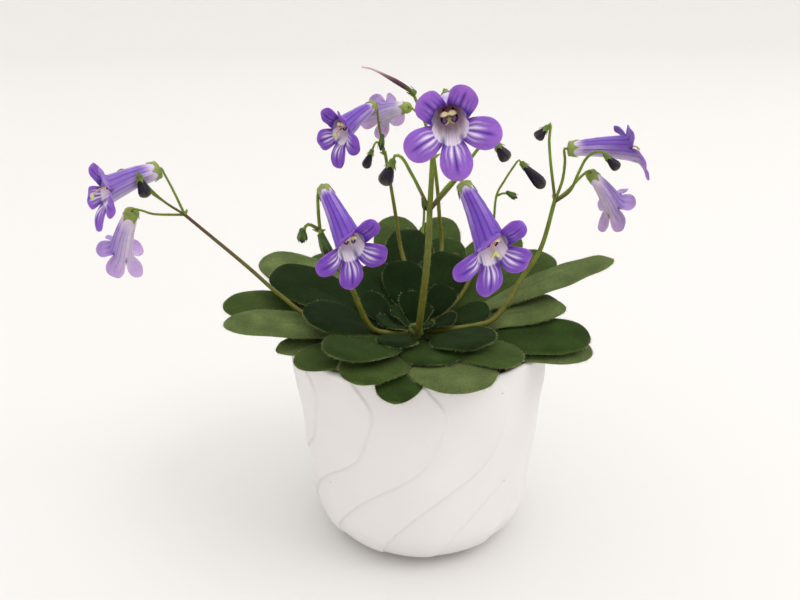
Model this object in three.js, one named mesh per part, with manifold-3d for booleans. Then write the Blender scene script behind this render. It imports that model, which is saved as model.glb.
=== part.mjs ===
import * as THREE from "three";
import Module from "manifold-3d";

// A flowering rosette plant in a white pot with a swirled relief.
// Lengths are millimetres, angles degrees, +Z is up, and the origin is the
// middle of the pot's underside. The front of the pot faces -Y.

// Pot
const POT_HEIGHT = 75;
const RIM_RADIUS = 45;
const FOOT_SLOPE_RADIUS = 37.1;
const FOOT_ROUNDING = 17;
const FOOT_FLAT_RADIUS = 21.8;
const RIM_INNER_RADIUS = 42.7;
const INNER_FOOT_RADIUS = 34.5;
const FLOOR_THICKNESS = 6;
const SWIRL_BANDS = 12;
const SWIRL_RELIEF = 0.9;
// Turn of one swirl line round the pot at even steps from foot to rim.
const SWIRL_TURN = [-55, -48.5, -36.6, -20.4, -0.9, 6.5, 9.5, 1.2];

// Potting mix
const SOIL_LEVEL = 69.5;
const SOIL_GAP = 0.4;

// Rosette
const ROSETTE_CENTRE = [-1.5, -4];
const HEART_LEAN = 0.35;
const LEAF_MIDDLE_THICKNESS = 1.15;
const LEAF_EDGE_THICKNESS = 0.75;
const LEAF_SAG = 0.0016;
const LEAF_SAG_REACH = 50;
const PETIOLE_HALF_WIDTH = 1.5;
const CLEARANCE = 0.3;
// Slivers thinner than this, left by a cut, are closed up.
const SLIVER = 0.02;
// Whorls from the outermost and lowest to the heart: where the leaves leave
// the stem (radius and height), and their pitch at the front, sides and rear.
const WHORL_RADIUS = [6.2, 5.9, 5.5, 4.9, 4.2, 3.4, 2.5, 1.6];
const WHORL_HEIGHT = [71.2, 72.7, 74.2, 75.6, 76.9, 78, 78.8, 79.4];
const PITCH_FRONT = [7, 8, 10, 13, 17, 26, 44, 62];
const PITCH_SIDE = [10, 14, 19, 24, 30, 40, 55, 69];
const PITCH_REAR = [27, 29, 32, 36, 43, 52, 63, 72];

// Flowers
// Radius of the corolla at shares of its tube's length, to the middle of its wall:
// a slowly widening tube that flares where the lobes part.
const TUBE_FOOT_RADIUS = 1.6;
const TUBE_RADII = [[0, TUBE_FOOT_RADIUS], [0.84, 3.7], [1, 4.4]];
const TUBE_BOW = 0.5;
// The face of the flower is tilted towards its back by so many degrees, and so is the mouth:
// this is how far the lower lip stands before the middle of the mouth, and the upper behind it.
const LIMB_TILT = 24;
const MOUTH_SLANT = 1.95;
const PETAL_THICKNESS = 0.7;
// Calyx: its length round a flower and a bud, the gap between it and the middle of the
// corolla's wall, and how far behind the corolla's foot its own foot lies.
const CALYX_LENGTH = 2.5;
const BUD_CALYX_LENGTH = 2.1;
const CALYX_GAP = 0.72;
const CALYX_FOOT_SETBACK = 0.5;
const CALYX_WALL = 0.45;

// Side stalks
const SIDE_STALK_SHARE = 0.75;
const SIDE_STALK_LEAST_RADIUS = 0.42;
// Where a side stalk turns into line behind its flower or bud, and where it ends.
const FLOWER_NECK = 1.9;
const BUD_NECK = 1.9;
const STALK_END = 0.9;

const radians = Math.PI / 180;
const wasm = await Module();
wasm.setup();

function clamp(value, low, high) {
  return Math.min(high, Math.max(low, value));
}

function lookup(list, position) {
  const place = clamp(position, 0, list.length - 1);
  const index = Math.min(Math.floor(place), list.length - 2);
  const part = place - index;
  return list[index] * (1 - part) + list[index + 1] * part;
}

// Smooth reading of a list, so that a line drawn through it has no corners.
function lookupSmooth(list, position) {
  const place = clamp(position, 0, list.length - 1);
  const index = Math.min(Math.floor(place), list.length - 2);
  const t = place - index;
  const before = list[Math.max(index - 1, 0)];
  const a = list[index];
  const b = list[index + 1];
  const after = list[Math.min(index + 2, list.length - 1)];
  const slopeA = (b - before) / 2;
  const slopeB = (after - a) / 2;
  const t2 = t * t;
  const t3 = t2 * t;
  return a * (2 * t3 - 3 * t2 + 1) + slopeA * (t3 - 2 * t2 + t)
    + b * (3 * t2 - 2 * t3) + slopeB * (t3 - t2);
}

// A small repeatable random source.
function seeded(seed) {
  let state = seed;
  return function next() {
    state = (state * 1664525 + 1013904223) % 4294967296;
    return state / 4294967296;
  };
}

// Points and triangles of one closed skin, with shared vertices.
class Skin {
  constructor() {
    this.points = [];
    this.faces = [];
  }

  add(point) {
    this.points.push(point);
    return this.points.length - 1;
  }

  triangle(a, b, c) {
    if (a !== b && b !== c && a !== c) this.faces.push([a, b, c]);
  }

  quad(a, b, c, d) {
    this.triangle(a, b, c);
    this.triangle(a, c, d);
  }

  solid() {
    const positions = new Float32Array(this.points.length * 3);
    this.points.forEach((point, index) => {
      positions[index * 3] = point.x;
      positions[index * 3 + 1] = point.y;
      positions[index * 3 + 2] = point.z;
    });
    const triangles = new Uint32Array(this.faces.flat());
    const mesh = new wasm.Mesh({ numProp: 3, vertProperties: positions, triVerts: triangles });
    mesh.merge();
    return new wasm.Manifold(mesh);
  }
}

// Gives an open sheet of points and triangles a thickness, half on each side.
// The same triangles are used on both faces.
function thicken(points, faces, thicknesses) {
  const normals = points.map(() => new THREE.Vector3());
  for (const [a, b, c] of faces) {
    const side = new THREE.Vector3().subVectors(points[b], points[a]);
    const other = new THREE.Vector3().subVectors(points[c], points[a]);
    const normal = side.cross(other).normalize();
    normals[a].add(normal);
    normals[b].add(normal);
    normals[c].add(normal);
  }
  normals.forEach((normal) => normal.normalize());
  const skin = new Skin();
  const count = points.length;
  points.forEach((point, i) => {
    skin.add(point.clone().addScaledVector(normals[i], thicknesses[i] / 2));
  });
  points.forEach((point, i) => {
    skin.add(point.clone().addScaledVector(normals[i], -thicknesses[i] / 2));
  });
  const edges = new Map();
  for (const [a, b, c] of faces) {
    skin.triangle(a, b, c);
    skin.triangle(a + count, c + count, b + count);
    for (const [from, to] of [[a, b], [b, c], [c, a]]) {
      edges.set(`${from}_${to}`, [from, to]);
    }
  }
  for (const [from, to] of edges.values()) {
    if (edges.has(`${to}_${from}`)) continue;
    skin.quad(from, from + count, to + count, to);
  }
  return skin.solid();
}

// A tube through the given points, with its radius running from end to end.
function tube(points, radii, sides, steps) {
  const knots = points.map((point) => new THREE.Vector3(...point));
  const curve = new THREE.CatmullRomCurve3(knots, false, "centripetal");
  const frames = curve.computeFrenetFrames(steps, false);
  const skin = new Skin();
  const rings = [];
  for (let i = 0; i <= steps; i += 1) {
    const centre = curve.getPointAt(i / steps);
    const radius = lookup(radii, (i / steps) * (radii.length - 1));
    const ring = [];
    for (let j = 0; j < sides; j += 1) {
      const angle = (j / sides) * Math.PI * 2;
      const point = centre.clone()
        .addScaledVector(frames.normals[i], Math.cos(angle) * radius)
        .addScaledVector(frames.binormals[i], Math.sin(angle) * radius);
      ring.push(skin.add(point));
    }
    rings.push(ring);
  }
  const first = skin.add(curve.getPointAt(0));
  const last = skin.add(curve.getPointAt(1));
  for (let j = 0; j < sides; j += 1) {
    const k = (j + 1) % sides;
    skin.triangle(first, rings[0][k], rings[0][j]);
    skin.triangle(last, rings[steps][j], rings[steps][k]);
    for (let i = 0; i < steps; i += 1) {
      skin.quad(rings[i][j], rings[i][k], rings[i + 1][k], rings[i + 1][j]);
    }
  }
  return skin.solid();
}

// Pot: the outer wall's columns follow the swirl lines, so that each band can
// rise slowly and step down at its line.
function swirlTurn(height) {
  return lookupSmooth(SWIRL_TURN, clamp(height / POT_HEIGHT, 0, 1) * (SWIRL_TURN.length - 1));
}

function slopeRadius(height) {
  return FOOT_SLOPE_RADIUS + (RIM_RADIUS - FOOT_SLOPE_RADIUS) * height / POT_HEIGHT;
}

function makePot() {
  const bandColumns = [[0, 0], [0.4, 0.42], [0.75, 0.85], [0.96, 1]];
  const columns = SWIRL_BANDS * bandColumns.length;
  const skin = new Skin();

  function ring(height, radius, relief, turn) {
    const indices = [];
    for (let i = 0; i < columns; i += 1) {
      const band = Math.floor(i / bandColumns.length);
      const [fraction, rise] = bandColumns[i % bandColumns.length];
      const angle = (turn + (band + fraction) * 360 / SWIRL_BANDS - 90) * radians;
      const reach = radius + SWIRL_RELIEF * relief * (rise - 0.7);
      indices.push(skin.add(new THREE.Vector3(Math.cos(angle) * reach, Math.sin(angle) * reach, height)));
    }
    return indices;
  }

  const rings = [ring(0, FOOT_FLAT_RADIUS, 0, swirlTurn(0))];
  for (const [angle, relief] of [[22.5, 0.35], [45, 0.8], [70, 1]]) {
    const height = FOOT_ROUNDING * (1 - Math.cos(angle * radians));
    const radius = FOOT_FLAT_RADIUS + FOOT_ROUNDING * Math.sin(angle * radians);
    rings.push(ring(height, radius, relief, swirlTurn(height)));
  }
  for (const height of [20, 30, 39, 48, 58, 67, 73.6]) {
    rings.push(ring(height, slopeRadius(height), 1, swirlTurn(height)));
  }
  rings.push(ring(POT_HEIGHT - 0.3, RIM_RADIUS - 0.3, 0.9, swirlTurn(POT_HEIGHT)));
  rings.push(ring(POT_HEIGHT, RIM_RADIUS - 1, 0.4, swirlTurn(POT_HEIGHT)));
  rings.push(ring(POT_HEIGHT - 0.6, RIM_INNER_RADIUS, 0, swirlTurn(POT_HEIGHT)));
  rings.push(ring(FLOOR_THICKNESS + 6, innerRadius(FLOOR_THICKNESS + 6), 0, swirlTurn(POT_HEIGHT)));
  rings.push(ring(FLOOR_THICKNESS, INNER_FOOT_RADIUS - 9, 0, swirlTurn(POT_HEIGHT)));
  for (let i = 0; i < rings.length - 1; i += 1) {
    for (let j = 0; j < columns; j += 1) {
      const k = (j + 1) % columns;
      skin.triangle(rings[i][j], rings[i][k], rings[i + 1][j]);
      skin.triangle(rings[i][k], rings[i + 1][k], rings[i + 1][j]);
    }
  }
  const underside = skin.add(new THREE.Vector3(0, 0, 0));
  const floor = skin.add(new THREE.Vector3(0, 0, FLOOR_THICKNESS));
  const lastRing = rings[rings.length - 1];
  for (let j = 0; j < columns; j += 1) {
    const k = (j + 1) % columns;
    skin.triangle(underside, rings[0][k], rings[0][j]);
    skin.triangle(floor, lastRing[j], lastRing[k]);
  }
  return skin.solid();
}

function innerRadius(height) {
  return INNER_FOOT_RADIUS + (RIM_INNER_RADIUS - INNER_FOOT_RADIUS) * (height - FLOOR_THICKNESS)
    / (POT_HEIGHT - FLOOR_THICKNESS);
}

// Potting mix filling the pot, with a lumpy top.
function makeSoil() {
  const columns = 26;
  const random = seeded(11);
  const skin = new Skin();
  const rings = [];
  const profile = [
    [INNER_FOOT_RADIUS - 10, FLOOR_THICKNESS + 0.6, 0],
    [innerRadius(FLOOR_THICKNESS + 6) - 1.2, FLOOR_THICKNESS + 8, 0],
    [innerRadius(40) - SOIL_GAP, 40, 0],
    [innerRadius(SOIL_LEVEL - 1) - SOIL_GAP, SOIL_LEVEL - 1, 0.5],
    [34, SOIL_LEVEL - 0.4, 1.1],
    [25, SOIL_LEVEL, 1.1],
    [14, SOIL_LEVEL + 0.3, 0.8],
  ];
  for (const [radius, height, lump] of profile) {
    const ring = [];
    for (let i = 0; i < columns; i += 1) {
      const angle = i / columns * Math.PI * 2;
      const lift = (random() - 0.5) * 2 * lump;
      const point = new THREE.Vector3(Math.cos(angle) * radius, Math.sin(angle) * radius, height + lift);
      ring.push(skin.add(point));
    }
    rings.push(ring);
  }
  const bottom = skin.add(new THREE.Vector3(0, 0, FLOOR_THICKNESS + 0.6));
  const top = skin.add(new THREE.Vector3(0, 0, SOIL_LEVEL + 0.5));
  const lastRing = rings[rings.length - 1];
  for (let j = 0; j < columns; j += 1) {
    const k = (j + 1) % columns;
    skin.triangle(bottom, rings[0][k], rings[0][j]);
    skin.triangle(top, lastRing[j], lastRing[k]);
    for (let i = 0; i < rings.length - 1; i += 1) {
      skin.quad(rings[i][j], rings[i][k], rings[i + 1][k], rings[i + 1][j]);
    }
  }
  return skin.solid();
}

// Pitch of a whorl's bowl on the side that faces the given direction.
function whorlPitch(whorl, direction) {
  const rearward = Math.sin(direction);
  const front = lookup(PITCH_FRONT, whorl);
  const side = lookup(PITCH_SIDE, whorl);
  const rear = lookup(PITCH_REAR, whorl);
  const slant = (rear - front) / 2;
  const bulge = (rear + front) / 2 - side;
  return (side + slant * rearward + bulge * rearward * rearward) * radians;
}

// A point of a whorl's bowl, given its offset from the middle of the rosette.
function bowlPoint(whorl, x, y, lift) {
  const out = Math.hypot(x, y) - lookup(WHORL_RADIUS, whorl);
  const slope = Math.tan(whorlPitch(whorl, Math.atan2(y, x)));
  const height = lookup(WHORL_HEIGHT, whorl) + slope * out + LEAF_SAG * out * (LEAF_SAG_REACH - out);
  return new THREE.Vector3(
    ROSETTE_CENTRE[0] + x,
    ROSETTE_CENTRE[1] - HEART_LEAN * whorl + y,
    height + lift,
  );
}

// Half-width of a blade along its length: a narrow stalk that widens into a
// broad blade with a round tip.
const WIDEST_SHARE = 0.6;

function bladeHalfWidth(t, width, stalk) {
  const roundTip = Math.sqrt(Math.max(0, 1 - t ** 6));
  const petiole = PETIOLE_HALF_WIDTH * roundTip;
  if (t <= stalk) return petiole;
  const q = (t - stalk) / (1 - stalk);
  let shape;
  if (q < WIDEST_SHARE) shape = Math.sin(Math.PI / 2 * q / WIDEST_SHARE);
  else shape = (1 - ((q - WIDEST_SHARE) / (1 - WIDEST_SHARE)) ** 2.4) ** 0.5;
  return (petiole ** 3 + (width / 2 * shape) ** 3) ** (1 / 3);
}

// Cross-lines of a blade's grid, as shares of its length.
const LEAF_ROWS = [0, 0.24, 0.45, 0.65, 0.84, 0.95];
const HEART_LEAF_ROWS = [0, 0.35, 0.65, 0.9];

// One leaf. Leaves of one whorl lie in a bowl, and the bowls of the whorls
// nest, so that the leaves lie over each other without touching.
function makeLeaf(leaf, grow) {
  const turn = leaf.azimuth * radians;
  const inset = leaf.inHeart ? 2 : 0;
  const radius = lookup(WHORL_RADIUS, leaf.whorl) - inset;
  const reach = leaf.length * Math.cos(whorlPitch(leaf.whorl, turn)) + inset;
  const stalk = leaf.stalk ?? 0.12;
  const cup = leaf.cup ?? 0.3;
  const droop = leaf.droop ?? 1;
  const twist = leaf.twist ?? 0;
  const bow = leaf.bow ?? 0;
  const wave = leaf.wave ?? 0.25;

  function place(t, across) {
    const along = radius + reach * t;
    const side = across + bow * t * t;
    const edge = across / (leaf.width / 2);
    const outer = clamp((t - 0.5) / 0.5, 0, 1);
    let lift = cup * edge * edge * Math.min(1, t * 1.6);
    lift += twist * edge * t;
    lift += wave * edge * Math.sin((t * 520 + leaf.azimuth * 3) * radians) * t;
    lift -= droop * outer * outer;
    return bowlPoint(
      leaf.whorl,
      along * Math.cos(turn) - side * Math.sin(turn),
      along * Math.sin(turn) + side * Math.cos(turn),
      lift,
    );
  }

  const points = [];
  const faces = [];
  const thicknesses = [];
  const growTip = 1 + grow / leaf.length;
  const lines = leaf.inHeart ? [-1, 0, 1] : [-1, -0.55, 0, 0.55, 1];
  const rows = leaf.inHeart ? HEART_LEAF_ROWS : LEAF_ROWS;
  for (const row of rows) {
    const t = row * growTip;
    const half = bladeHalfWidth(row, leaf.width, stalk) + grow;
    for (const line of lines) {
      points.push(place(t, half * line));
      const rib = 1 - Math.abs(line);
      thicknesses.push(LEAF_EDGE_THICKNESS + (LEAF_MIDDLE_THICKNESS - LEAF_EDGE_THICKNESS) * rib + 2 * grow);
    }
  }
  points.push(place(growTip, 0));
  thicknesses.push(LEAF_EDGE_THICKNESS + 2 * grow);
  const across = lines.length;
  const tip = points.length - 1;
  for (let i = 0; i < rows.length - 1; i += 1) {
    for (let j = 0; j < across - 1; j += 1) {
      const a = i * across + j;
      const b = a + across;
      faces.push([a, b, b + 1], [a, b + 1, a + 1]);
    }
  }
  const lastRow = (rows.length - 1) * across;
  for (let j = 0; j < across - 1; j += 1) faces.push([lastRow + j, tip, lastRow + j + 1]);
  return thicken(points, faces, thicknesses);
}

const LEAVES = [
  { name: "leaf_front_hanging", azimuth: -98, whorl: 0, length: 45, width: 15, droop: 1.5, cup: 0.2 },
  { name: "leaf_front_left_low", azimuth: -112, whorl: 1.3, length: 42, width: 21, droop: 1.5 },
  { name: "leaf_front_right_broad", azimuth: -73, whorl: 0.6, length: 43, width: 27, droop: 1.5, cup: 0.6 },
  { name: "leaf_front_left_downy", azimuth: -124, whorl: 2.5, length: 39, width: 22 },
  { name: "leaf_front_middle", azimuth: -80, whorl: 1.9, length: 28, width: 20 },
  { name: "leaf_front_right_small", azimuth: -49, whorl: 1.3, length: 40, width: 18 },
  { name: "leaf_front_right_inner", azimuth: -52, whorl: 2.8, length: 30, width: 19 },
  { name: "leaf_front_left_inner", azimuth: -109, whorl: 3.3, length: 23, width: 12 },
  { name: "leaf_left_top", azimuth: 152, whorl: 1.2, length: 61, width: 21 },
  { name: "leaf_left_behind", azimuth: 134, whorl: 0.4, length: 52, width: 20 },
  { name: "leaf_left_broad", azimuth: 165, whorl: 2.1, length: 50, width: 22 },
  { name: "leaf_left_low", azimuth: 174, whorl: 0.5, length: 62, width: 20 },
  { name: "leaf_left_long", azimuth: -168, whorl: 1.2, length: 59, width: 17 },
  { name: "leaf_left_dark", azimuth: -161, whorl: 0, length: 42, width: 13 },
  { name: "leaf_left_rim", azimuth: -140, whorl: 0.6, length: 42, width: 19 },
  { name: "leaf_left_inner", azimuth: -158, whorl: 3, length: 35.5, width: 21 },
  { name: "leaf_left_heart", azimuth: 164, whorl: 3.7, length: 18, width: 13 },
  { name: "leaf_rear_left_dark", azimuth: 128, whorl: 2.7, length: 30, width: 20 },
  { name: "leaf_rear_tall", azimuth: 97, whorl: 0.2, length: 64, width: 19 },
  { name: "leaf_rear_broad", azimuth: 93, whorl: 2.1, length: 47, width: 18 },
  { name: "leaf_rear_inner", azimuth: 102, whorl: 3.5, length: 26.5, width: 15 },
  { name: "leaf_rear_right_pale", azimuth: 78, whorl: 0.8, length: 61, width: 18 },
  { name: "leaf_rear_right_middle", azimuth: 72, whorl: 1.5, length: 46, width: 18 },
  { name: "leaf_rear_right_inner", azimuth: 63, whorl: 2.9, length: 33.5, width: 19 },
  { name: "leaf_rear_right_small", azimuth: 43, whorl: 4.1, length: 17, width: 11 },
  { name: "leaf_right_heart", azimuth: 0, whorl: 2.8, length: 21.5, width: 13 },
  { name: "leaf_right_front_broad", azimuth: -20, whorl: 0.8, length: 53, width: 25 },
  { name: "leaf_right_front_low", azimuth: -22, whorl: 0, length: 53.5, width: 23 },
  { name: "leaf_right_edge", azimuth: -4, whorl: 1.5, length: 46, width: 14 },
  { name: "leaf_right_dark", azimuth: 11, whorl: 0.5, length: 46, width: 12 },
  { name: "leaf_right_long", azimuth: 9, whorl: 2.1, length: 68, width: 15, stalk: 0.2, droop: 0,
    twist: -1.5 },
  { name: "leaf_rear_right_broad", azimuth: 31, whorl: 1.2, length: 57, width: 23 },
  { name: "leaf_rear_right_far", azimuth: 53, whorl: 0.1, length: 65, width: 20 },
];

const HEART_LEAVES = [
  { azimuth: -150, whorl: 4.3, length: 11, width: 10 },
  { azimuth: -20, whorl: 4.2, length: 11, width: 9.5 },
  { azimuth: 97, whorl: 4.6, length: 12, width: 9 },
  { azimuth: 178, whorl: 5.5, length: 8, width: 6 },
  { azimuth: -75, whorl: 5.2, length: 9, width: 7.5 },
  { azimuth: 30, whorl: 6, length: 7, width: 5 },
];

// Short stem that carries the rosette, rooted in the potting mix.
function makeCrown(grow) {
  const sides = 12;
  const skin = new Skin();
  const rootHeight = 61.5;
  const topHeight = 78.9;
  const profile = [[3.4, rootHeight], [4.8, 68], [5.6, 71], [5.1, 73.4], [4.5, 75], [3.6, 76.5], [2.6, 77.6],
    [1.2, 78.4]];
  const place = (x, y, height) => new THREE.Vector3(
    ROSETTE_CENTRE[0] + x,
    ROSETTE_CENTRE[1] + y - HEART_LEAN * clamp((height - 71) / 1.3, 0, 6),
    height,
  );
  const rings = profile.map(([radius, height]) => {
    const ring = [];
    for (let i = 0; i < sides; i += 1) {
      const angle = i / sides * Math.PI * 2;
      const reach = radius + grow;
      ring.push(skin.add(place(Math.cos(angle) * reach, Math.sin(angle) * reach, height)));
    }
    return ring;
  });
  const root = skin.add(place(0, 0, rootHeight - grow));
  const top = skin.add(place(0, 0, topHeight + grow));
  for (let j = 0; j < sides; j += 1) {
    const k = (j + 1) % sides;
    skin.triangle(root, rings[0][k], rings[0][j]);
    skin.triangle(top, rings[rings.length - 1][j], rings[rings.length - 1][k]);
    for (let i = 0; i < rings.length - 1; i += 1) {
      skin.quad(rings[i][j], rings[i][k], rings[i + 1][k], rings[i + 1][j]);
    }
  }
  let solid = skin.solid();
  for (const leaf of HEART_LEAVES) solid = solid.add(makeLeaf({ ...leaf, inHeart: true }, grow));
  return solid;
}

// Flowers: base of the tube, middle of the mouth, the way the back of the flower
// points where it isn't straight up, its size, the radius of its tube's foot where it is
// wider than usual, how much wider all its lobes open, and how much its two upper ones.
const FLOWERS = [
  { name: "corolla_left_upper", base: [-84.2, -0.6, 130.3], mouth: [-97.2, -11.6, 126.1], foot: 2.5,
    upper: [16, 0] },
  { name: "corolla_left_hanging", base: [-94.2, 0.4, 116], mouth: [-101.6, 7, 101.4],
    back: [-1, 0.2, 0.3], size: 0.9, foot: 2.2, spread: -6 },
  { name: "corolla_middle_left", base: [-15.2, 13.6, 147.9], mouth: [-25.2, 3.2, 141.2], size: 0.92,
    upper: [16, 0] },
  { name: "corolla_behind", base: [-3.8, 14.4, 147.2], mouth: [-11.2, 26.8, 143.8], size: 0.8 },
  { name: "corolla_front_upper", base: [5, -61, 159], mouth: [4.4, -80, 155.8], back: [-0.2, 0, 1],
    size: 0.96, upper: [4, 8] },
  { name: "corolla_front_left", base: [-27.9, -31, 130.6], mouth: [-19.8, -45, 117.7], upper: [-8, 36] },
  { name: "corolla_front_right", base: [9.8, -56, 136.9], mouth: [15.9, -69, 124.1], upper: [-8, 36] },
  { name: "corolla_right_upper", base: [48.3, 1.9, 135.5], mouth: [67, 0, 135.7], size: 0.95, foot: 2.1,
    upper: [30, 70] },
  { name: "corolla_right_hanging", base: [55.8, 2.4, 127], mouth: [65.4, 9, 115.2], back: [1, 0, 0.6],
    size: 0.86, spread: -8 },
];

function flowerFrame(flower) {
  const base = new THREE.Vector3(...flower.base);
  const axis = new THREE.Vector3(...flower.mouth).sub(base).normalize();
  const back = new THREE.Vector3(...(flower.back ?? [0, 0, 1]));
  back.addScaledVector(axis, -back.dot(axis)).normalize();
  const side = new THREE.Vector3().crossVectors(axis, back);
  return { base, axis, back, side };
}

// Lobes: the part of the rim that each takes, its length and width, and how far each third of
// the lobe is opened from the way that the flower faces.
const LOBES = [
  { from: 0, to: 80, length: 5.8, width: 6.8, open: [24, 42, 64] },
  { from: 80, to: 146, length: 8, width: 7.4, open: [56, 84, 100] },
  { from: 146, to: 214, length: 8.4, width: 7.4, open: [54, 80, 96] },
  { from: 214, to: 280, length: 8, width: 7.4, open: [56, 84, 100] },
  { from: 280, to: 360, length: 5.8, width: 6.8, open: [24, 42, 64] },
];

function makeCorolla(flower, grow) {
  const { base, axis, back, side } = flowerFrame(flower);
  const tubeLength = new THREE.Vector3(...flower.mouth).distanceTo(base);
  const size = flower.size ?? 1;
  const wider = (flower.foot ?? TUBE_FOOT_RADIUS) - TUBE_FOOT_RADIUS;
  const [upperFirst, upperLast] = flower.upper ?? [0, 0];
  const spreads = [upperFirst, 0, 0, 0, upperLast].map((extra) => extra + (flower.spread ?? 0));
  const tilt = LIMB_TILT * radians;
  const facing = axis.clone().multiplyScalar(Math.cos(tilt)).addScaledVector(back, Math.sin(tilt));
  const facingBack = back.clone().multiplyScalar(Math.cos(tilt)).addScaledVector(axis, -Math.sin(tilt));
  const points = [];
  const faces = [];
  const columns = LOBES.length * 3;

  function around(angle) {
    return back.clone().multiplyScalar(Math.cos(angle * radians))
      .addScaledVector(side, Math.sin(angle * radians));
  }

  function columnAngle(column) {
    const lobe = LOBES[Math.floor(column / 3) % LOBES.length];
    return lobe.from + (lobe.to - lobe.from) * (column % 3) / 3;
  }

  function slant(angle, share) {
    return -MOUTH_SLANT * size * Math.cos(angle * radians) * share ** 3;
  }

  const rows = [];
  for (const [share, radius] of TUBE_RADII) {
    const bend = Math.sin(share * Math.PI) * TUBE_BOW;
    const centre = base.clone().addScaledVector(axis, share * tubeLength).addScaledVector(back, bend);
    const row = [];
    for (let i = 0; i < columns; i += 1) {
      const angle = columnAngle(i);
      const point = centre.clone().addScaledVector(axis, slant(angle, share));
      const reach = (radius + wider * (1 - share)) * size;
      row.push(points.push(point.addScaledVector(around(angle), reach)) - 1);
    }
    rows.push(row);
  }
  const foot = points.push(base.clone()) - 1;
  for (let j = 0; j < columns; j += 1) {
    const k = (j + 1) % columns;
    faces.push([foot, rows[0][j], rows[0][k]]);
    for (let i = 0; i < rows.length - 1; i += 1) {
      faces.push([rows[i][j], rows[i + 1][j], rows[i + 1][k]], [rows[i][j], rows[i + 1][k], rows[i][k]]);
    }
  }

  const rimRadius = TUBE_RADII[TUBE_RADII.length - 1][1] * size;
  const rimCentre = base.clone().addScaledVector(axis, tubeLength);
  LOBES.forEach((lobe, number) => {
    const middle = (lobe.from + lobe.to) / 2;
    const outward = facingBack.clone().multiplyScalar(Math.cos(middle * radians))
      .addScaledVector(side, Math.sin(middle * radians));
    const across = new THREE.Vector3().crossVectors(facing, outward);
    const rim = [];
    for (let i = 0; i < 4; i += 1) rim.push(rows[rows.length - 1][(number * 3 + i) % columns]);
    let previous = rim;
    const spine = rimCentre.clone().addScaledVector(axis, slant(middle, 1))
      .addScaledVector(around(middle), rimRadius);
    const steps = [[0.34, 0.98], [0.38, 0.96], [0.28, 0.5]];
    steps.forEach(([share, widthShare], row) => {
      const open = (lobe.open[row] + spreads[number]) * radians;
      const forward = facing.clone().multiplyScalar(Math.cos(open)).addScaledVector(outward, Math.sin(open));
      const normal = facing.clone().multiplyScalar(Math.sin(open)).addScaledVector(outward, -Math.cos(open));
      spine.addScaledVector(forward, lobe.length * size * share);
      const next = [];
      for (let i = 0; i < 4; i += 1) {
        const offset = (i / 3 - 0.5) * lobe.width * size * widthShare;
        const middleColumn = i === 1 || i === 2;
        const point = spine.clone().addScaledVector(across, offset)
          .addScaledVector(normal, middleColumn ? 0 : -0.35);
        if (row === 2 && !middleColumn) point.addScaledVector(forward, -0.9);
        next.push(points.push(point) - 1);
      }
      for (let i = 0; i < 3; i += 1) {
        faces.push([previous[i], next[i], next[i + 1]], [previous[i], next[i + 1], previous[i + 1]]);
      }
      previous = next;
    });
  });
  return thicken(points, faces, points.map(() => PETAL_THICKNESS + 2 * grow));
}

// Calyx: a small cup with five pointed sepals round the foot of a flower or bud.
function makeCalyx(base, axis, back, length, footRadius, tipRadius) {
  const side = new THREE.Vector3().crossVectors(axis, back);
  const skin = new Skin();
  const columns = 10;

  function ring(distanceOf, radiusOf) {
    const indices = [];
    for (let i = 0; i < columns; i += 1) {
      const angle = i / columns * Math.PI * 2;
      const tooth = i % 2 === 0;
      const centre = base.clone().addScaledVector(axis, distanceOf(tooth));
      const radius = radiusOf(tooth);
      indices.push(skin.add(centre.addScaledVector(back, Math.cos(angle) * radius)
        .addScaledVector(side, Math.sin(angle) * radius)));
    }
    return indices;
  }

  const floor = -CALYX_FOOT_SETBACK;
  const cleft = length * 0.3;
  const tipInside = tipRadius;
  const cleftInside = footRadius + 0.2;
  const rings = [
    ring(() => floor - 0.2, () => footRadius + CALYX_WALL),
    ring((tooth) => (tooth ? length : cleft), (tooth) => (tooth ? tipInside : cleftInside) + CALYX_WALL),
    ring((tooth) => (tooth ? length - 0.4 : cleft), (tooth) => (tooth ? tipInside : cleftInside)),
    ring(() => floor, () => footRadius),
  ];
  const bottom = skin.add(base.clone().addScaledVector(axis, floor - 1.3));
  const inside = skin.add(base.clone().addScaledVector(axis, floor));
  for (let j = 0; j < columns; j += 1) {
    const k = (j + 1) % columns;
    skin.triangle(bottom, rings[0][k], rings[0][j]);
    skin.triangle(inside, rings[3][j], rings[3][k]);
    for (let i = 0; i < rings.length - 1; i += 1) {
      skin.quad(rings[i][j], rings[i][k], rings[i + 1][k], rings[i + 1][j]);
    }
  }
  return skin.solid();
}

// Unopened corollas: a dark club with a narrow neck in its calyx.
const BUDS = [
  { name: "bud_left", base: [-86.8, -9.5, 130], tip: [-85.6, -9.5, 123.8], size: 0.85 },
  { name: "bud_middle_low", base: [-15.8, 14, 132.8], tip: [-18, 14, 127.5], size: 0.68 },
  { name: "bud_front_left", base: [-8.3, -60, 143.9], tip: [-10.4, -60, 138.6], size: 0.8 },
  { name: "bud_front_right", base: [17.2, -58, 147.8], tip: [19.9, -58, 144], size: 0.7 },
  { name: "bud_rear_right", base: [34.2, 8, 129.4], tip: [41.6, 8, 121.6], size: 0.9 },
  { name: "bud_right_upper", base: [39.8, 0, 142.4], tip: [37, 0, 139.2], size: 0.76 },
  { name: "bud_right_outer", base: [57.4, -8, 134.9], tip: [61.3, -8, 131], size: 0.7 },
];

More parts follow.
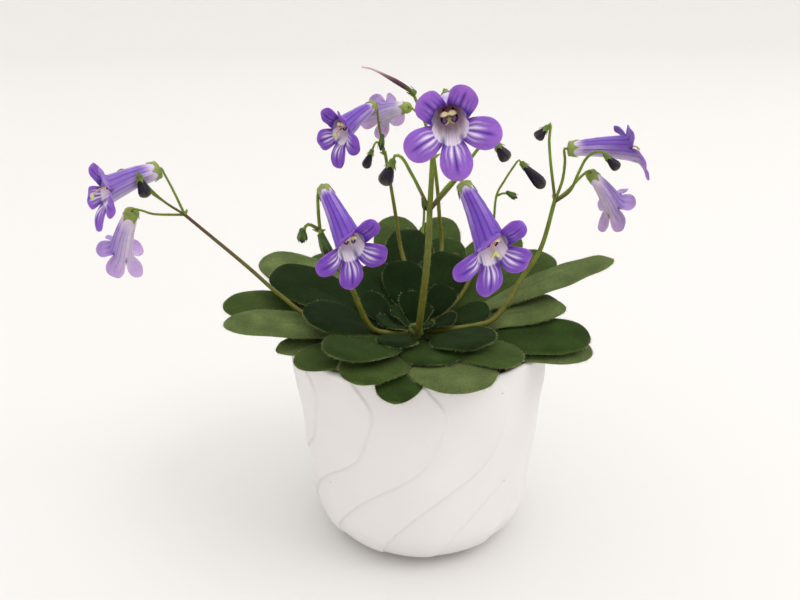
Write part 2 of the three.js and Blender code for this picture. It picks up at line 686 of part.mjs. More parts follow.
function makeBud(bud, grow) {
  const { base, axis, back } = budFrame(bud);
  const side = new THREE.Vector3().crossVectors(axis, back);
  const length = new THREE.Vector3(...bud.tip).distanceTo(base);
  const radii = [0.6, 1, 1.8, 2.4, 2, 0.8].map((radius) => radius * bud.size + grow);
  const places = [0, 0.25, 0.5, 0.72, 0.9, 1];
  const skin = new Skin();
  const sides = 8;
  const rings = places.map((share, i) => {
    const distance = share * length + (share - 0.5) * 2 * grow;
    const ring = [];
    for (let j = 0; j < sides; j += 1) {
      const angle = j / sides * Math.PI * 2;
      const ridge = 1 + (j % 2 === 0 ? 0.05 : -0.04) * (share > 0.3 ? 1 : 0);
      ring.push(skin.add(base.clone().addScaledVector(axis, distance)
        .addScaledVector(back, Math.cos(angle) * radii[i] * ridge)
        .addScaledVector(side, Math.sin(angle) * radii[i] * ridge)));
    }
    return ring;
  });
  const bottom = skin.add(base.clone().addScaledVector(axis, -grow));
  const top = skin.add(base.clone().addScaledVector(axis, length + 0.3 + grow));
  for (let j = 0; j < sides; j += 1) {
    const k = (j + 1) % sides;
    skin.triangle(bottom, rings[0][k], rings[0][j]);
    skin.triangle(top, rings[rings.length - 1][j], rings[rings.length - 1][k]);
    for (let i = 0; i < rings.length - 1; i += 1) {
      skin.quad(rings[i][j], rings[i][k], rings[i + 1][k], rings[i + 1][j]);
    }
  }
  return skin.solid();
}

// Scapes: the main stalk with its side stalks. A stalk that names a flower or
// bud runs on into its calyx. "green" are buds still closed in their calyx.
const SCAPES = [
  {
    name: "scape_left",
    stem: [[-6.8, -5, 75], [-16.5, -7, 78], [-26.5, -8.6, 81.2], [-36.5, -8.6, 82.6], [-46.8, -7.5, 90.4],
      [-55.9, -6, 98.8], [-75.9, -3, 116.2]],
    radii: [0.75, 0.72, 0.65, 0.55],
    branches: [
      { from: [[-75.9, -3, 116.2], [-79.4, -1.8, 124.7], [-81.9, -0.4, 129.4]], ends: "corolla_left_upper" },
      { from: [[-75.9, -3, 116.2], [-86.9, -1, 116.1], [-90.7, 0, 117]], ends: "corolla_left_hanging" },
      { from: [[-75.9, -3, 116.2], [-82, -4.4, 121.3], [-86, -7.8, 128]], ends: "bud_left" },
      { from: [[-82, -4.4, 121.3], [-87.8, 1, 123.3], [-92.1, 4, 126.9], [-95.4, 4.5, 129.2],
        [-97.4, 4.5, 129.5], [-99.2, 4, 127.7]] },
    ],
  },
  {
    name: "scape_front_left",
    stem: [[-4.6, -9.8, 77], [-9, -14, 78.8], [-15.4, -18.2, 82], [-21.8, -26, 100], [-27.9, -35, 117],
      [-29.1, -36, 120.2]],
    radii: [0.85, 0.85, 0.8, 0.68],
    branches: [
      { from: [[-29.1, -36, 119.8], [-29.6, -33.5, 125.4], [-29.6, -31.2, 129.8]], ends: "corolla_front_left" },
      { from: [[-29.1, -36, 120.2], [-32.4, -36.5, 122], [-34, -36.5, 119.8]] },
      { from: [[-29.1, -36, 120], [-28.9, -37.4, 120.2], [-28.5, -38.2, 118.6]] },
    ],
    green: [
      { base: [-34, -36.5, 120], tip: [-34.3, -36.5, 116.6], radius: 1.4 },
      { base: [-28.6, -38.2, 119], tip: [-26.6, -39, 113], radius: 1.5 },
    ],
  },
  {
    name: "scape_front_middle",
    stem: [[-1.8, -10.4, 77.6], [-1.6, -16, 79.2], [-1.1, -22, 83], [0.2, -38, 102.6], [0.9, -50, 118.5],
      [1, -58.5, 132], [1.6, -60, 146]],
    radii: [1, 1, 0.88, 0.62],
    branches: [
      { from: [[1.6, -60, 145], [2.6, -58.4, 154], [4.6, -57.4, 161]], ends: "corolla_front_upper" },
      { from: [[1, -58.2, 131.6], [4, -56.5, 135.4], [7.4, -54.6, 138.4]], ends: "corolla_front_right" },
      { from: [[1, -58.4, 131.6], [-3.5, -60, 141], [-6.2, -60, 145.4]], ends: "bud_front_left" },
      { from: [[1, -58.4, 131.6], [7.8, -59.6, 140], [12.9, -59, 147.2]], ends: "bud_front_right" },
    ],
  },
  {
    name: "scape_rear_left",
    stem: [[-2.2, 1, 76], [-2.5, 8, 81.4], [-3.2, 15, 87.2], [-5.2, 21.4, 92.4], [-6.4, 23.5, 97],
      [-8.3, 22.4, 111], [-11.4, 19, 132]],
    radii: [0.75, 0.75, 0.65, 0.55],
    branches: [
      { from: [[-11.4, 19, 131], [-13.2, 17.2, 141], [-13.8, 16, 147.6]], ends: "corolla_middle_left" },
      { from: [[-11.2, 19.2, 130.6], [-14, 16, 135.8]], ends: "bud_middle_low" },
    ],
    green: [
      { base: [-12.2, 18.2, 137], tip: [-12.8, 15.6, 133], radius: 0.95 },
    ],
  },
  {
    name: "scape_rear_capsule",
    stem: [[1.6, 0.8, 75.4], [4.2, 9, 80.7], [7.2, 18.5, 87.8], [8.6, 25, 92], [9, 29.2, 96.6],
      [8, 28.6, 106], [6.9, 27.5, 118.6], [4.6, 25, 134], [1.8, 22, 142.8], [-2, 20.4, 151.8]],
    radii: [0.75, 0.75, 0.65, 0.5],
    branches: [
      { from: [[5, 25.4, 132], [3, 18, 138.6], [1, 11, 144.4]], ends: "corolla_behind" },
    ],
    capsule: [[-1.6, 20.6, 151.2], [-4.4, 20.4, 153.2], [-10, 20.8, 156.4], [-15.5, 21.6, 159],
      [-18.6, 22, 159.6]],
  },
  {
    name: "scape_right",
    stem: [[3.2, -8.6, 76.8], [10, -11.2, 78.8], [16.5, -12.2, 80], [23.5, -11.8, 82], [29, -9.5, 88],
      [32.9, -6.5, 93.9], [39.3, -4, 103.5], [43.8, -1, 119.5]],
    radii: [0.95, 0.9, 0.8, 0.68],
    branches: [
      { from: [[43.8, -1, 119.2], [46, 0, 125.8], [46.6, 1, 132]], ends: "corolla_right_upper" },
      { from: [[43.8, -1, 119.2], [48.1, 0.5, 122.2], [52.4, 1.6, 126.6]], ends: "corolla_right_hanging" },
      { from: [[43.8, -1, 119.2], [43.1, 0, 124.3], [41.9, 0, 131.2], [41, 0, 138.6]],
        ends: "bud_right_upper" },
      { from: [[43.8, -1, 118.8], [47.9, -3.4, 123], [49.7, -5.2, 128.8], [51.6, -7, 134.2],
        [53.6, -7.6, 136]], ends: "bud_right_outer" },
    ],
  },
  {
    name: "scape_rear_right",
    stem: [[3, -2.2, 77.4], [9, 1.2, 80], [14.8, 4.4, 85.2], [21, 8, 98.1], [25.6, 9, 109.9]],
    radii: [0.72, 0.72, 0.62, 0.52],
    branches: [
      { from: [[25.4, 9, 109.2], [26.2, 9, 119.2], [28.4, 8.8, 123.6], [31.6, 8.4, 129]],
        ends: "bud_rear_right" },
      { from: [[25.8, 9, 118.4], [28, 9.6, 119.2], [30.4, 10, 119.2]] },
    ],
    green: [
      { base: [30.2, 10, 119.2], tip: [33.2, 10, 117.5], radius: 1 },
    ],
  },
  {
    name: "scape_rear_short",
    stem: [[-2, 2.8, 74.8], [-4, 20, 85], [-1.6, 31, 91.4], [1.4, 38, 95.4], [2.4, 41.6, 98.4],
      [2.8, 42, 104], [2.6, 41.8, 109.4]],
    radii: [0.6, 0.6, 0.55, 0.45],
    branches: [],
    green: [
      { base: [2.6, 41.6, 109.6], tip: [3.9, 42.4, 104.8], radius: 1.3 },
    ],
  },
];

// The ripening ovary: its calyx, the slender ovary itself and the thin style that it still carries.
const CAPSULE_RADII = [1, 0.95, 0.9, 0.62, 0.42, 0.35];

function budFrame(bud) {
  const base = new THREE.Vector3(...bud.base);
  const axis = new THREE.Vector3(...bud.tip).sub(base).normalize();
  const up = Math.abs(axis.z) < 0.9 ? new THREE.Vector3(0, 0, 1) : new THREE.Vector3(0, 1, 0);
  const back = up.addScaledVector(axis, -up.dot(axis)).normalize();
  return { base, axis, back };
}

function makeScape(scape, grow) {
  const radii = scape.radii.map((radius) => radius + grow);
  const topRadius = scape.radii[scape.radii.length - 1];
  const thin = Math.max(topRadius * SIDE_STALK_SHARE, SIDE_STALK_LEAST_RADIUS) + grow;
  let solid = tube(scape.stem, radii, 5, scape.stem.length + 1);
  for (const branch of scape.branches) {
    const points = [...branch.from];
    if (branch.ends) {
      const flower = FLOWERS.find((item) => item.name === branch.ends);
      const bud = BUDS.find((item) => item.name === branch.ends);
      const { base, axis, back } = flower ? flowerFrame(flower) : budFrame(bud);
      const footRadius = flower
        ? (flower.foot ?? TUBE_FOOT_RADIUS) * (flower.size ?? 1) + CALYX_GAP
        : 0.4 + 0.7 * bud.size;
      points.push(base.clone().addScaledVector(axis, flower ? -FLOWER_NECK : -BUD_NECK).toArray());
      points.push(base.clone().addScaledVector(axis, -STALK_END).toArray());
      solid = solid.add(flower
        ? makeCalyx(base, axis, back, CALYX_LENGTH, footRadius, footRadius + 0.3)
        : makeCalyx(base, axis, back, BUD_CALYX_LENGTH * bud.size, footRadius, 0.4 + 1.2 * bud.size));
    }
    solid = solid.add(tube(points, [thin, thin * 0.85], 5, points.length));
  }
  for (const { base, tip, radius } of scape.green ?? []) {
    const middle = base.map((value, i) => value * 0.4 + tip[i] * 0.6);
    solid = solid.add(tube([base, middle, tip], [0.6, radius, radius * 1.05, 0.35], 7, 5));
  }
  if (scape.capsule) solid = solid.add(tube(scape.capsule, CAPSULE_RADII, 7, 8));
  return solid;
}

// Cut order: what is cut later makes room for what came before.
function largestPiece(solid) {
  const pieces = solid.decompose();
  let best = pieces[0];
  for (const piece of pieces) {
    if (piece.volume() > best.volume()) best = piece;
  }
  return best;
}

function boxesMeet(a, b) {
  const boxA = a.boundingBox();
  const boxB = b.boundingBox();
  for (let i = 0; i < 3; i += 1) {
    if (boxA.max[i] < boxB.min[i] || boxB.max[i] < boxA.min[i]) return false;
  }
  return true;
}

function cutBy(solid, cutters) {
  let result = solid;
  for (const cutter of cutters) {
    if (boxesMeet(result, cutter)) result = result.subtract(cutter);
  }
  return largestPiece(result);
}

const group = new THREE.Group();

function addPiece(name, solid, colour, roughness) {
  const mesh = solid.simplify(SLIVER).getMesh();
  const geometry = new THREE.BufferGeometry();
  geometry.setAttribute("position", new THREE.BufferAttribute(new Float32Array(mesh.vertProperties), 3));
  geometry.setIndex(new THREE.BufferAttribute(new Uint32Array(mesh.triVerts), 1));
  geometry.computeVertexNormals();
  const material = new THREE.MeshStandardMaterial({ color: colour, roughness, metalness: 0 });
  const piece = new THREE.Mesh(geometry, material);
  piece.name = name;
  group.add(piece);
}

const COLOURS = {
  pot: "#e9e8ec",
  soil: "#2b2420",
  crown: "#5f7a45",
  leaf: "#4c6b3c",
  scape: "#7d8a3a",
  corolla: "#8f77c9",
  bud: "#2c2838",
};

const corollas = FLOWERS.map((flower) => makeCorolla(flower, 0));
const corollaRooms = FLOWERS.map((flower) => makeCorolla(flower, CLEARANCE));
const buds = BUDS.map((bud) => makeBud(bud, 0));
const budRooms = BUDS.map((bud) => makeBud(bud, CLEARANCE));

const crown = makeCrown(0);
const crownRoom = makeCrown(CLEARANCE);
const scapes = [];
const scapeRooms = [];
for (const scape of SCAPES) {
  scapes.push(cutBy(makeScape(scape, 0), [crownRoom, ...corollaRooms, ...budRooms, ...scapeRooms]));
  scapeRooms.push(makeScape(scape, CLEARANCE));
}

const soil = largestPiece(makeSoil().subtract(crownRoom));
addPiece("pot", makePot(), COLOURS.pot, 0.4);
addPiece("soil", soil, COLOURS.soil, 0.95);
addPiece("crown", crown, COLOURS.crown, 0.7);
SCAPES.forEach((scape, i) => addPiece(scape.name, scapes[i], COLOURS.scape, 0.6));
FLOWERS.forEach((flower, i) => addPiece(flower.name, corollas[i], COLOURS.corolla, 0.6));
BUDS.forEach((bud, i) => addPiece(bud.name, buds[i], COLOURS.bud, 0.5));

// Leaves are cut from the heart outwards, so that a lower leaf gives way.
const leafRooms = [];
const fromHeart = [...LEAVES].sort((a, b) => b.whorl - a.whorl);
for (const leaf of fromHeart) {
  const solid = cutBy(makeLeaf(leaf, 0), [crownRoom, ...scapeRooms, ...leafRooms]);
  leafRooms.push(makeLeaf(leaf, CLEARANCE));
  addPiece(leaf.name, solid, COLOURS.leaf, 0.75);
}

export default group;
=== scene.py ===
"""A flowering rosette plant in a white pot with a swirled relief.

Lengths are millimetres and angles degrees, as in the solid model, until
Shape.place turns them into metres. +Z is up, the origin is the middle of the
pot's underside, and the front of the pot faces -Y.
"""

import math

import bpy
import numpy as np
from mathutils import Matrix, Vector


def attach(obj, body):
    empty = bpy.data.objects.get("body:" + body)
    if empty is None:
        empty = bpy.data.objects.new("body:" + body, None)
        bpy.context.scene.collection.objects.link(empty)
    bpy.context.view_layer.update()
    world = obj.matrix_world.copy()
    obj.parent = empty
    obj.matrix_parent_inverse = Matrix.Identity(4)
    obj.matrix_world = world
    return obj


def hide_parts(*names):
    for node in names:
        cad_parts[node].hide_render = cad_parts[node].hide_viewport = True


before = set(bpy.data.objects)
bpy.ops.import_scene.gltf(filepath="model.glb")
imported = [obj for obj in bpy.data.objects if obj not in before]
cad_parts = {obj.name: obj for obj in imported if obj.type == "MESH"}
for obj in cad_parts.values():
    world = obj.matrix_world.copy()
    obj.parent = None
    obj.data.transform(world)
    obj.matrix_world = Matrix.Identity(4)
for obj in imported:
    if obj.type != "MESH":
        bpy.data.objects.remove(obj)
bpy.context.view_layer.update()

MM = 0.001

# Pot. The flat of its foot and its floor are rings at these radii.
FOOT_RINGS = [0.01, 8, 15, 19.5]
FLOOR_RINGS = [25.5, 12, 0.01]
POT_HEIGHT = 75
RIM_RADIUS = 45
FOOT_SLOPE_RADIUS = 37.1
FOOT_ROUNDING = 17
FOOT_FLAT_RADIUS = 21.8
SLOPE_START = 14.2
RIM_INNER_RADIUS = 42.7
RIM_ROUNDING = 1.2
INNER_FOOT_RADIUS = 34.5
FLOOR_THICKNESS = 6
SWIRL_BANDS = 12
SWIRL_RELIEF = 0.9
BAND_MIDDLE_RISE = 0.65
SWIRL_TURN = [-55, -48.5, -36.6, -20.4, -0.9, 6.5, 9.5, 1.2]
# Places across a band, as shares of its width, close together where it steps down
BAND_SHARES = [0, 0.03, 0.1, 0.2, 0.3, 0.4, 0.5, 0.6, 0.7, 0.78, 0.85, 0.9, 0.94, 0.962, 0.976, 0.988]

# Potting mix
SOIL_LEVEL = 69.5
SOIL_GAP = 0.4
SOIL_COLUMNS = 110
SOIL_TOP_ROWS = 34
SOIL_GRAINS = 620

# Crown, from below to its top
CROWN_SIDES = 28
CROWN_ROWS = 30
CROWN_RADII = [0.01, 3.4, 4.8, 5.6, 5.1, 4.5, 3.6, 2.6, 1.2, 0.01]
CROWN_HEIGHTS = [61, 61.5, 68, 71, 73.4, 75, 76.5, 77.6, 78.4, 78.9]

# Rosette. A leaf's grid is its rows along it and its lines across.
ROSETTE_CENTRE = [-1.5, -4]
LEAF_GRID = (42, 23)
HEART_LEAF_GRID = (20, 13)
HEART_LEAN = 0.35
LEAF_SAG = 0.0016
LEAF_SAG_REACH = 50
PETIOLE_HALF_WIDTH = 1.5
WIDEST_SHARE = 0.6
LEAF_WAVE = 0.25
LEAF_RIPPLE = 0.28
MARGIN_DROP = 0.9
HEART_MARGIN_DROP = 0.45
MIDRIB_DEPTH = 0.3
SIDE_VEIN_DEPTH = 0.05
SIDE_VEIN_SPACING = 6.5
WHORL_RADIUS = [6.2, 5.9, 5.5, 4.9, 4.2, 3.4, 2.5, 1.6]
WHORL_HEIGHT = [71.2, 72.7, 74.2, 75.6, 76.9, 78, 78.8, 79.4]
PITCH_FRONT = [7, 8, 10, 13, 17, 26, 44, 62]
PITCH_SIDE = [10, 14, 19, 24, 30, 40, 55, 69]
PITCH_REAR = [27, 29, 32, 36, 43, 52, 63, 72]

# Flowers. The radii go along the corolla's tube at even steps, to the middle of its wall.
TUBE_FOOT_RADIUS = 1.6
TUBE_RADII = [1.6, 1.9, 2.15, 2.38, 2.6, 2.83, 3.08, 3.34, 3.6, 3.92, 4.4]
TUBE_BOW = 0.5
LIMB_TILT = 24
MOUTH_SLANT = 1.95
PETAL_THICKNESS = 0.42
PETAL_EDGE_THICKNESS = 0.16
TUBE_ROWS = 40
LOBE_COLUMNS = 20
LOBE_ROWS = 20
# Share of a lobe's length at which it is widest
LOBE_WIDEST = 0.5

# Sepals
CALYX_COLUMNS = 60
CALYX_LENGTH = 2.5
BUD_CALYX_LENGTH = 2.1
CAPSULE_CALYX_LENGTH = 2.2
CAPSULE_CALYX_RADIUS = 0.95
CALYX_FOOT_SETBACK = 0.5
SEPAL_THICKNESS = 0.22
SEPAL_FIT = 0.14
CALYX_HAIRS = 110

# Dark buds
BUD_ROWS = 30
BUD_SIDES = 40
BUD_TIP_LENGTH = 0.3
BUD_HAIRS = 120

# Side stalks
SIDE_STALK_SHARE = 0.75
SIDE_STALK_LEAST_RADIUS = 0.42
NECK = 1.9
STALK_END = 0.9

# Hairs
HAIR_ROOT_DEPTH = 0.1
STALK_HAIR_RADIUS = 0.02
STEM_HAIRS_PER_MM = 9
SIDE_STALK_HAIRS_PER_MM = 7
LEAF_HAIR_RADIUS = 0.022
LEAF_HAIRS_PER_SQUARE_MM = 2.2
FRINGE_HAIR_RADIUS = 0.03
FRINGE_HAIRS_PER_MM = 5

# Stage in millimetres, and light in metres and watts
STAGE_FLAT = 2600
STAGE_BEND = 1500
STAGE_WALL = 500
SKY_LOW = 0.88
SKY_HIGH = 1.38
SKY_COLOUR = (1.0, 0.992, 0.982, 1)
KEY_PLACE = (1.5, -0.7, 2.1)
KEY_AIM = (0, 0, 0.08)
KEY_SIZE = 1.4
KEY_POWER = 15
KEY_COLOUR = (1, 0.985, 0.96)

# Camera, fitted to the pot's ellipses
CAMERA_PLACE = [-6.7, -251.6, 182.3]
CAMERA_DOWN = 21.17
CAMERA_ROLL = -0.534
CAMERA_LENS = 35.63


def srgb(red, green, blue):
    """A screen colour from 0 to 255 as linear light."""
    value = np.array([red, green, blue]) / 255
    return np.where(value <= 0.04045, value / 12.92, ((value + 0.055) / 1.055) ** 2.4)


GLAZE = srgb(231, 228, 227)
GLAZE_SPECK = srgb(172, 164, 156)
STAGE_COLOUR = srgb(226, 224, 222)
CROWN_BARK = srgb(74, 62, 40)
CROWN_GREEN = srgb(96, 112, 56)
LEAF_MARGIN = srgb(104, 116, 62)
LEAF_UNDERSIDE = srgb(88, 104, 62)
LEAF_STALK = srgb(72, 82, 34)
LEAF_HAIR = srgb(166, 174, 130)
LEAF_DOWN = srgb(104, 122, 72)
PETAL_WHITE = srgb(240, 232, 244)
PETAL_BLUSH = srgb(228, 214, 232)
PETAL_LILAC = srgb(170, 124, 208)
PETAL_VIOLET = srgb(105, 54, 176)
PETAL_DEEP = srgb(66, 22, 138)
PETAL_SPOT = srgb(40, 8, 104)
STIGMA = srgb(204, 210, 128)
STYLE = srgb(206, 182, 160)
ANTHER = srgb(222, 208, 160)
FILAMENT = srgb(54, 22, 92)
SEPAL_PALE = srgb(134, 150, 72)
SEPAL_GREEN = srgb(84, 110, 34)
SEPAL_DARK = srgb(50, 80, 24)
SEPAL_TIP = srgb(140, 152, 84)
BUD_DARK = srgb(20, 10, 32)
BUD_TIP = srgb(84, 82, 52)
BUD_RIDGE = srgb(50, 38, 56)
STALK_COLOURS = {
    "green": srgb(114, 136, 28),
    "olive": srgb(98, 98, 26),
    "brown": srgb(80, 52, 34),
    "leafy": srgb(98, 118, 22),
}

# The ripening ovary: the slender ovary itself and the thin pale style that it still carries
CAPSULE_RADII = [0.7, 0.85, 0.8, 0.5, 0.34, 0.3]
CAPSULE_COLOURS = [srgb(104, 110, 46), srgb(76, 50, 50), srgb(82, 50, 62), srgb(150, 116, 120),
                   srgb(206, 182, 176), srgb(214, 196, 180)]

# Leaf greens, darkest for the inner leaves, each with the share of pale down in its hairs. The soft and pale
# tones of the lower outer leaves, with their larger share of down, also hold painted sheen: the haze of the
# down seen at a grazing angle.
LEAF_TONES = {
    "night": (srgb(12, 29, 4), 0.14),
    "deep": (srgb(21, 37, 10), 0.2),
    "green": (srgb(36, 54, 18), 0.35),
    "soft": (srgb(56, 72, 32), 0.5),
    "pale": (srgb(82, 95, 54), 0.7),
}

# Leaves: name, azimuth, whorl, length, width and tone, and what is unusual about them
LEAVES = [
    ("leaf_front_hanging", -98, 0, 45, 15, "green", {"droop": 1.5, "cup": 0.2}),
    ("leaf_front_left_low", -112, 1.3, 42, 21, "soft", {"droop": 1.5}),
    ("leaf_front_right_broad", -73, 0.6, 43, 27, "pale", {"droop": 1.5, "cup": 0.6}),
    ("leaf_front_left_downy", -124, 2.5, 39, 22, "green"),
    ("leaf_front_middle", -80, 1.9, 28, 20, "green"),
    ("leaf_front_right_small", -49, 1.3, 40, 18, "soft"),
    ("leaf_front_right_inner", -52, 2.8, 30, 19, "deep"),
    ("leaf_front_left_inner", -109, 3.3, 23, 12, "deep"),
    ("leaf_left_top", 152, 1.2, 61, 21, "pale"),
    ("leaf_left_behind", 134, 0.4, 52, 20, "soft"),
    ("leaf_left_broad", 165, 2.1, 50, 22, "deep"),
    ("leaf_left_low", 174, 0.5, 62, 20, "soft"),
    ("leaf_left_long", -168, 1.2, 59, 17, "pale"),
    ("leaf_left_dark", -161, 0, 42, 13, "pale"),
    ("leaf_left_rim", -140, 0.6, 42, 19, "soft"),
    ("leaf_left_inner", -158, 3, 35.5, 21, "night"),
    ("leaf_left_heart", 164, 3.7, 18, 13, "night"),
    ("leaf_rear_left_dark", 128, 2.7, 30, 20, "deep"),
    ("leaf_rear_tall", 97, 0.2, 64, 19, "soft"),
    ("leaf_rear_broad", 93, 2.1, 47, 18, "deep"),
    ("leaf_rear_inner", 102, 3.5, 26.5, 15, "night"),
    ("leaf_rear_right_pale", 78, 0.8, 61, 18, "soft"),
    ("leaf_rear_right_middle", 72, 1.5, 46, 18, "green"),
    ("leaf_rear_right_inner", 63, 2.9, 33.5, 19, "deep"),
    ("leaf_rear_right_small", 43, 4.1, 17, 11, "night"),
    ("leaf_right_heart", 0, 2.8, 21.5, 13, "deep"),
    ("leaf_right_front_broad", -20, 0.8, 53, 25, "green"),
    ("leaf_right_front_low", -22, 0, 53.5, 23, "pale"),
    ("leaf_right_edge", -4, 1.5, 46, 14, "pale"),
    ("leaf_right_dark", 11, 0.5, 46, 12, "soft"),
    ("leaf_right_long", 9, 2.1, 68, 15, "pale", {"stalk": 0.2, "droop": 0, "twist": -1.5}),
    ("leaf_rear_right_broad", 31, 1.2, 57, 23, "soft"),
    ("leaf_rear_right_far", 53, 0.1, 65, 20, "soft"),
]

# The small leaves of the crown, the same without a name
HEART_LEAVES = [
    (-150, 4.3, 11, 10, "deep"),
    (-20, 4.2, 11, 9.5, "night"),
    (97, 4.6, 12, 9, "night"),
    (178, 5.5, 8, 6, "deep"),
    (-75, 5.2, 9, 7.5, "deep"),
    (30, 6, 7, 5, "deep"),
]

# Flowers: both ends of the tube, the way the back of the flower points where it isn't
# straight up, its size, the radius of its tube's foot where it is wider than usual, how
# much wider all its lobes open, how much its first and its last, which are the upper two,
# how much paler it is than the deepest of them, and how far along the tube its stigma is.
FLOWERS = {
    "corolla_left_upper": {"base": [-84.2, -0.6, 130.3], "tip": [-97.2, -11.6, 126.1], "foot": 2.5,
                           "upper": [16, 0], "pale": 0.3, "stigma": 1.24},
    "corolla_left_hanging": {"base": [-94.2, 0.4, 116], "tip": [-101.6, 7, 101.4], "back": [-1, 0.2, 0.3],
                             "size": 0.9, "foot": 2.2, "spread": -6, "pale": 0.45},
    "corolla_middle_left": {"base": [-15.2, 13.6, 147.9], "tip": [-25.2, 3.2, 141.2], "size": 0.92,
                            "upper": [16, 0], "pale": 0.15, "stigma": 1.14},
    "corolla_behind": {"base": [-3.8, 14.4, 147.2], "tip": [-11.2, 26.8, 143.8], "size": 0.8, "pale": 0.6},
    "corolla_front_upper": {"base": [5, -61, 159], "tip": [4.4, -80, 155.8], "back": [-0.2, 0, 1],
                            "size": 0.96, "upper": [4, 8], "pale": 0.6},
    "corolla_front_left": {"base": [-27.9, -31, 130.6], "tip": [-19.8, -45, 117.7], "upper": [-8, 36],
                           "pale": 0.1},
    "corolla_front_right": {"base": [9.8, -56, 136.9], "tip": [15.9, -69, 124.1], "upper": [-8, 36],
                            "pale": 0.1, "stigma": 1.06},
    "corolla_right_upper": {"base": [48.3, 1.9, 135.5], "tip": [67, 0, 135.7], "size": 0.95, "foot": 2.1,
                            "upper": [30, 70], "pale": 0.2, "stigma": 1.12},
    "corolla_right_hanging": {"base": [55.8, 2.4, 127], "tip": [65.4, 9, 115.2], "back": [1, 0, 0.6],
                              "size": 0.86, "spread": -8, "pale": 0.5},
}

# Lobes: the part of the rim that each takes, from and to, its length and width, and how
# far each third of the lobe is opened from the way that the flower faces.
LOBES = [
    (0, 80, 5.8, 6.8, [24, 42, 64]),
    (80, 146, 8, 7.4, [56, 84, 100]),
    (146, 214, 8.4, 7.4, [54, 80, 96]),
    (214, 280, 8, 7.4, [56, 84, 100]),
    (280, 360, 5.8, 6.8, [24, 42, 64]),
]

BUDS = {
    "bud_left": {"base": [-86.8, -9.5, 130], "tip": [-85.6, -9.5, 123.8], "size": 0.85},
    "bud_middle_low": {"base": [-15.8, 14, 132.8], "tip": [-18, 14, 127.5], "size": 0.68},
    "bud_front_left": {"base": [-8.3, -60, 143.9], "tip": [-10.4, -60, 138.6], "size": 0.8},
    "bud_front_right": {"base": [17.2, -58, 147.8], "tip": [19.9, -58, 144], "size": 0.7},
    "bud_rear_right": {"base": [34.2, 8, 129.4], "tip": [41.6, 8, 121.6], "size": 0.9},
    "bud_right_upper": {"base": [39.8, 0, 142.4], "tip": [37, 0, 139.2], "size": 0.76},
    "bud_right_outer": {"base": [57.4, -8, 134.9], "tip": [61.3, -8, 131], "size": 0.7},
}
# Radius of a bud of size 1 at shares of its length
BUD_SHARES = [0, 0.12, 0.25, 0.5, 0.72, 0.86, 0.95, 1]
BUD_RADII = [0.8, 1.1, 1.4, 2.0, 2.4, 2.15, 1.4, 0.1]

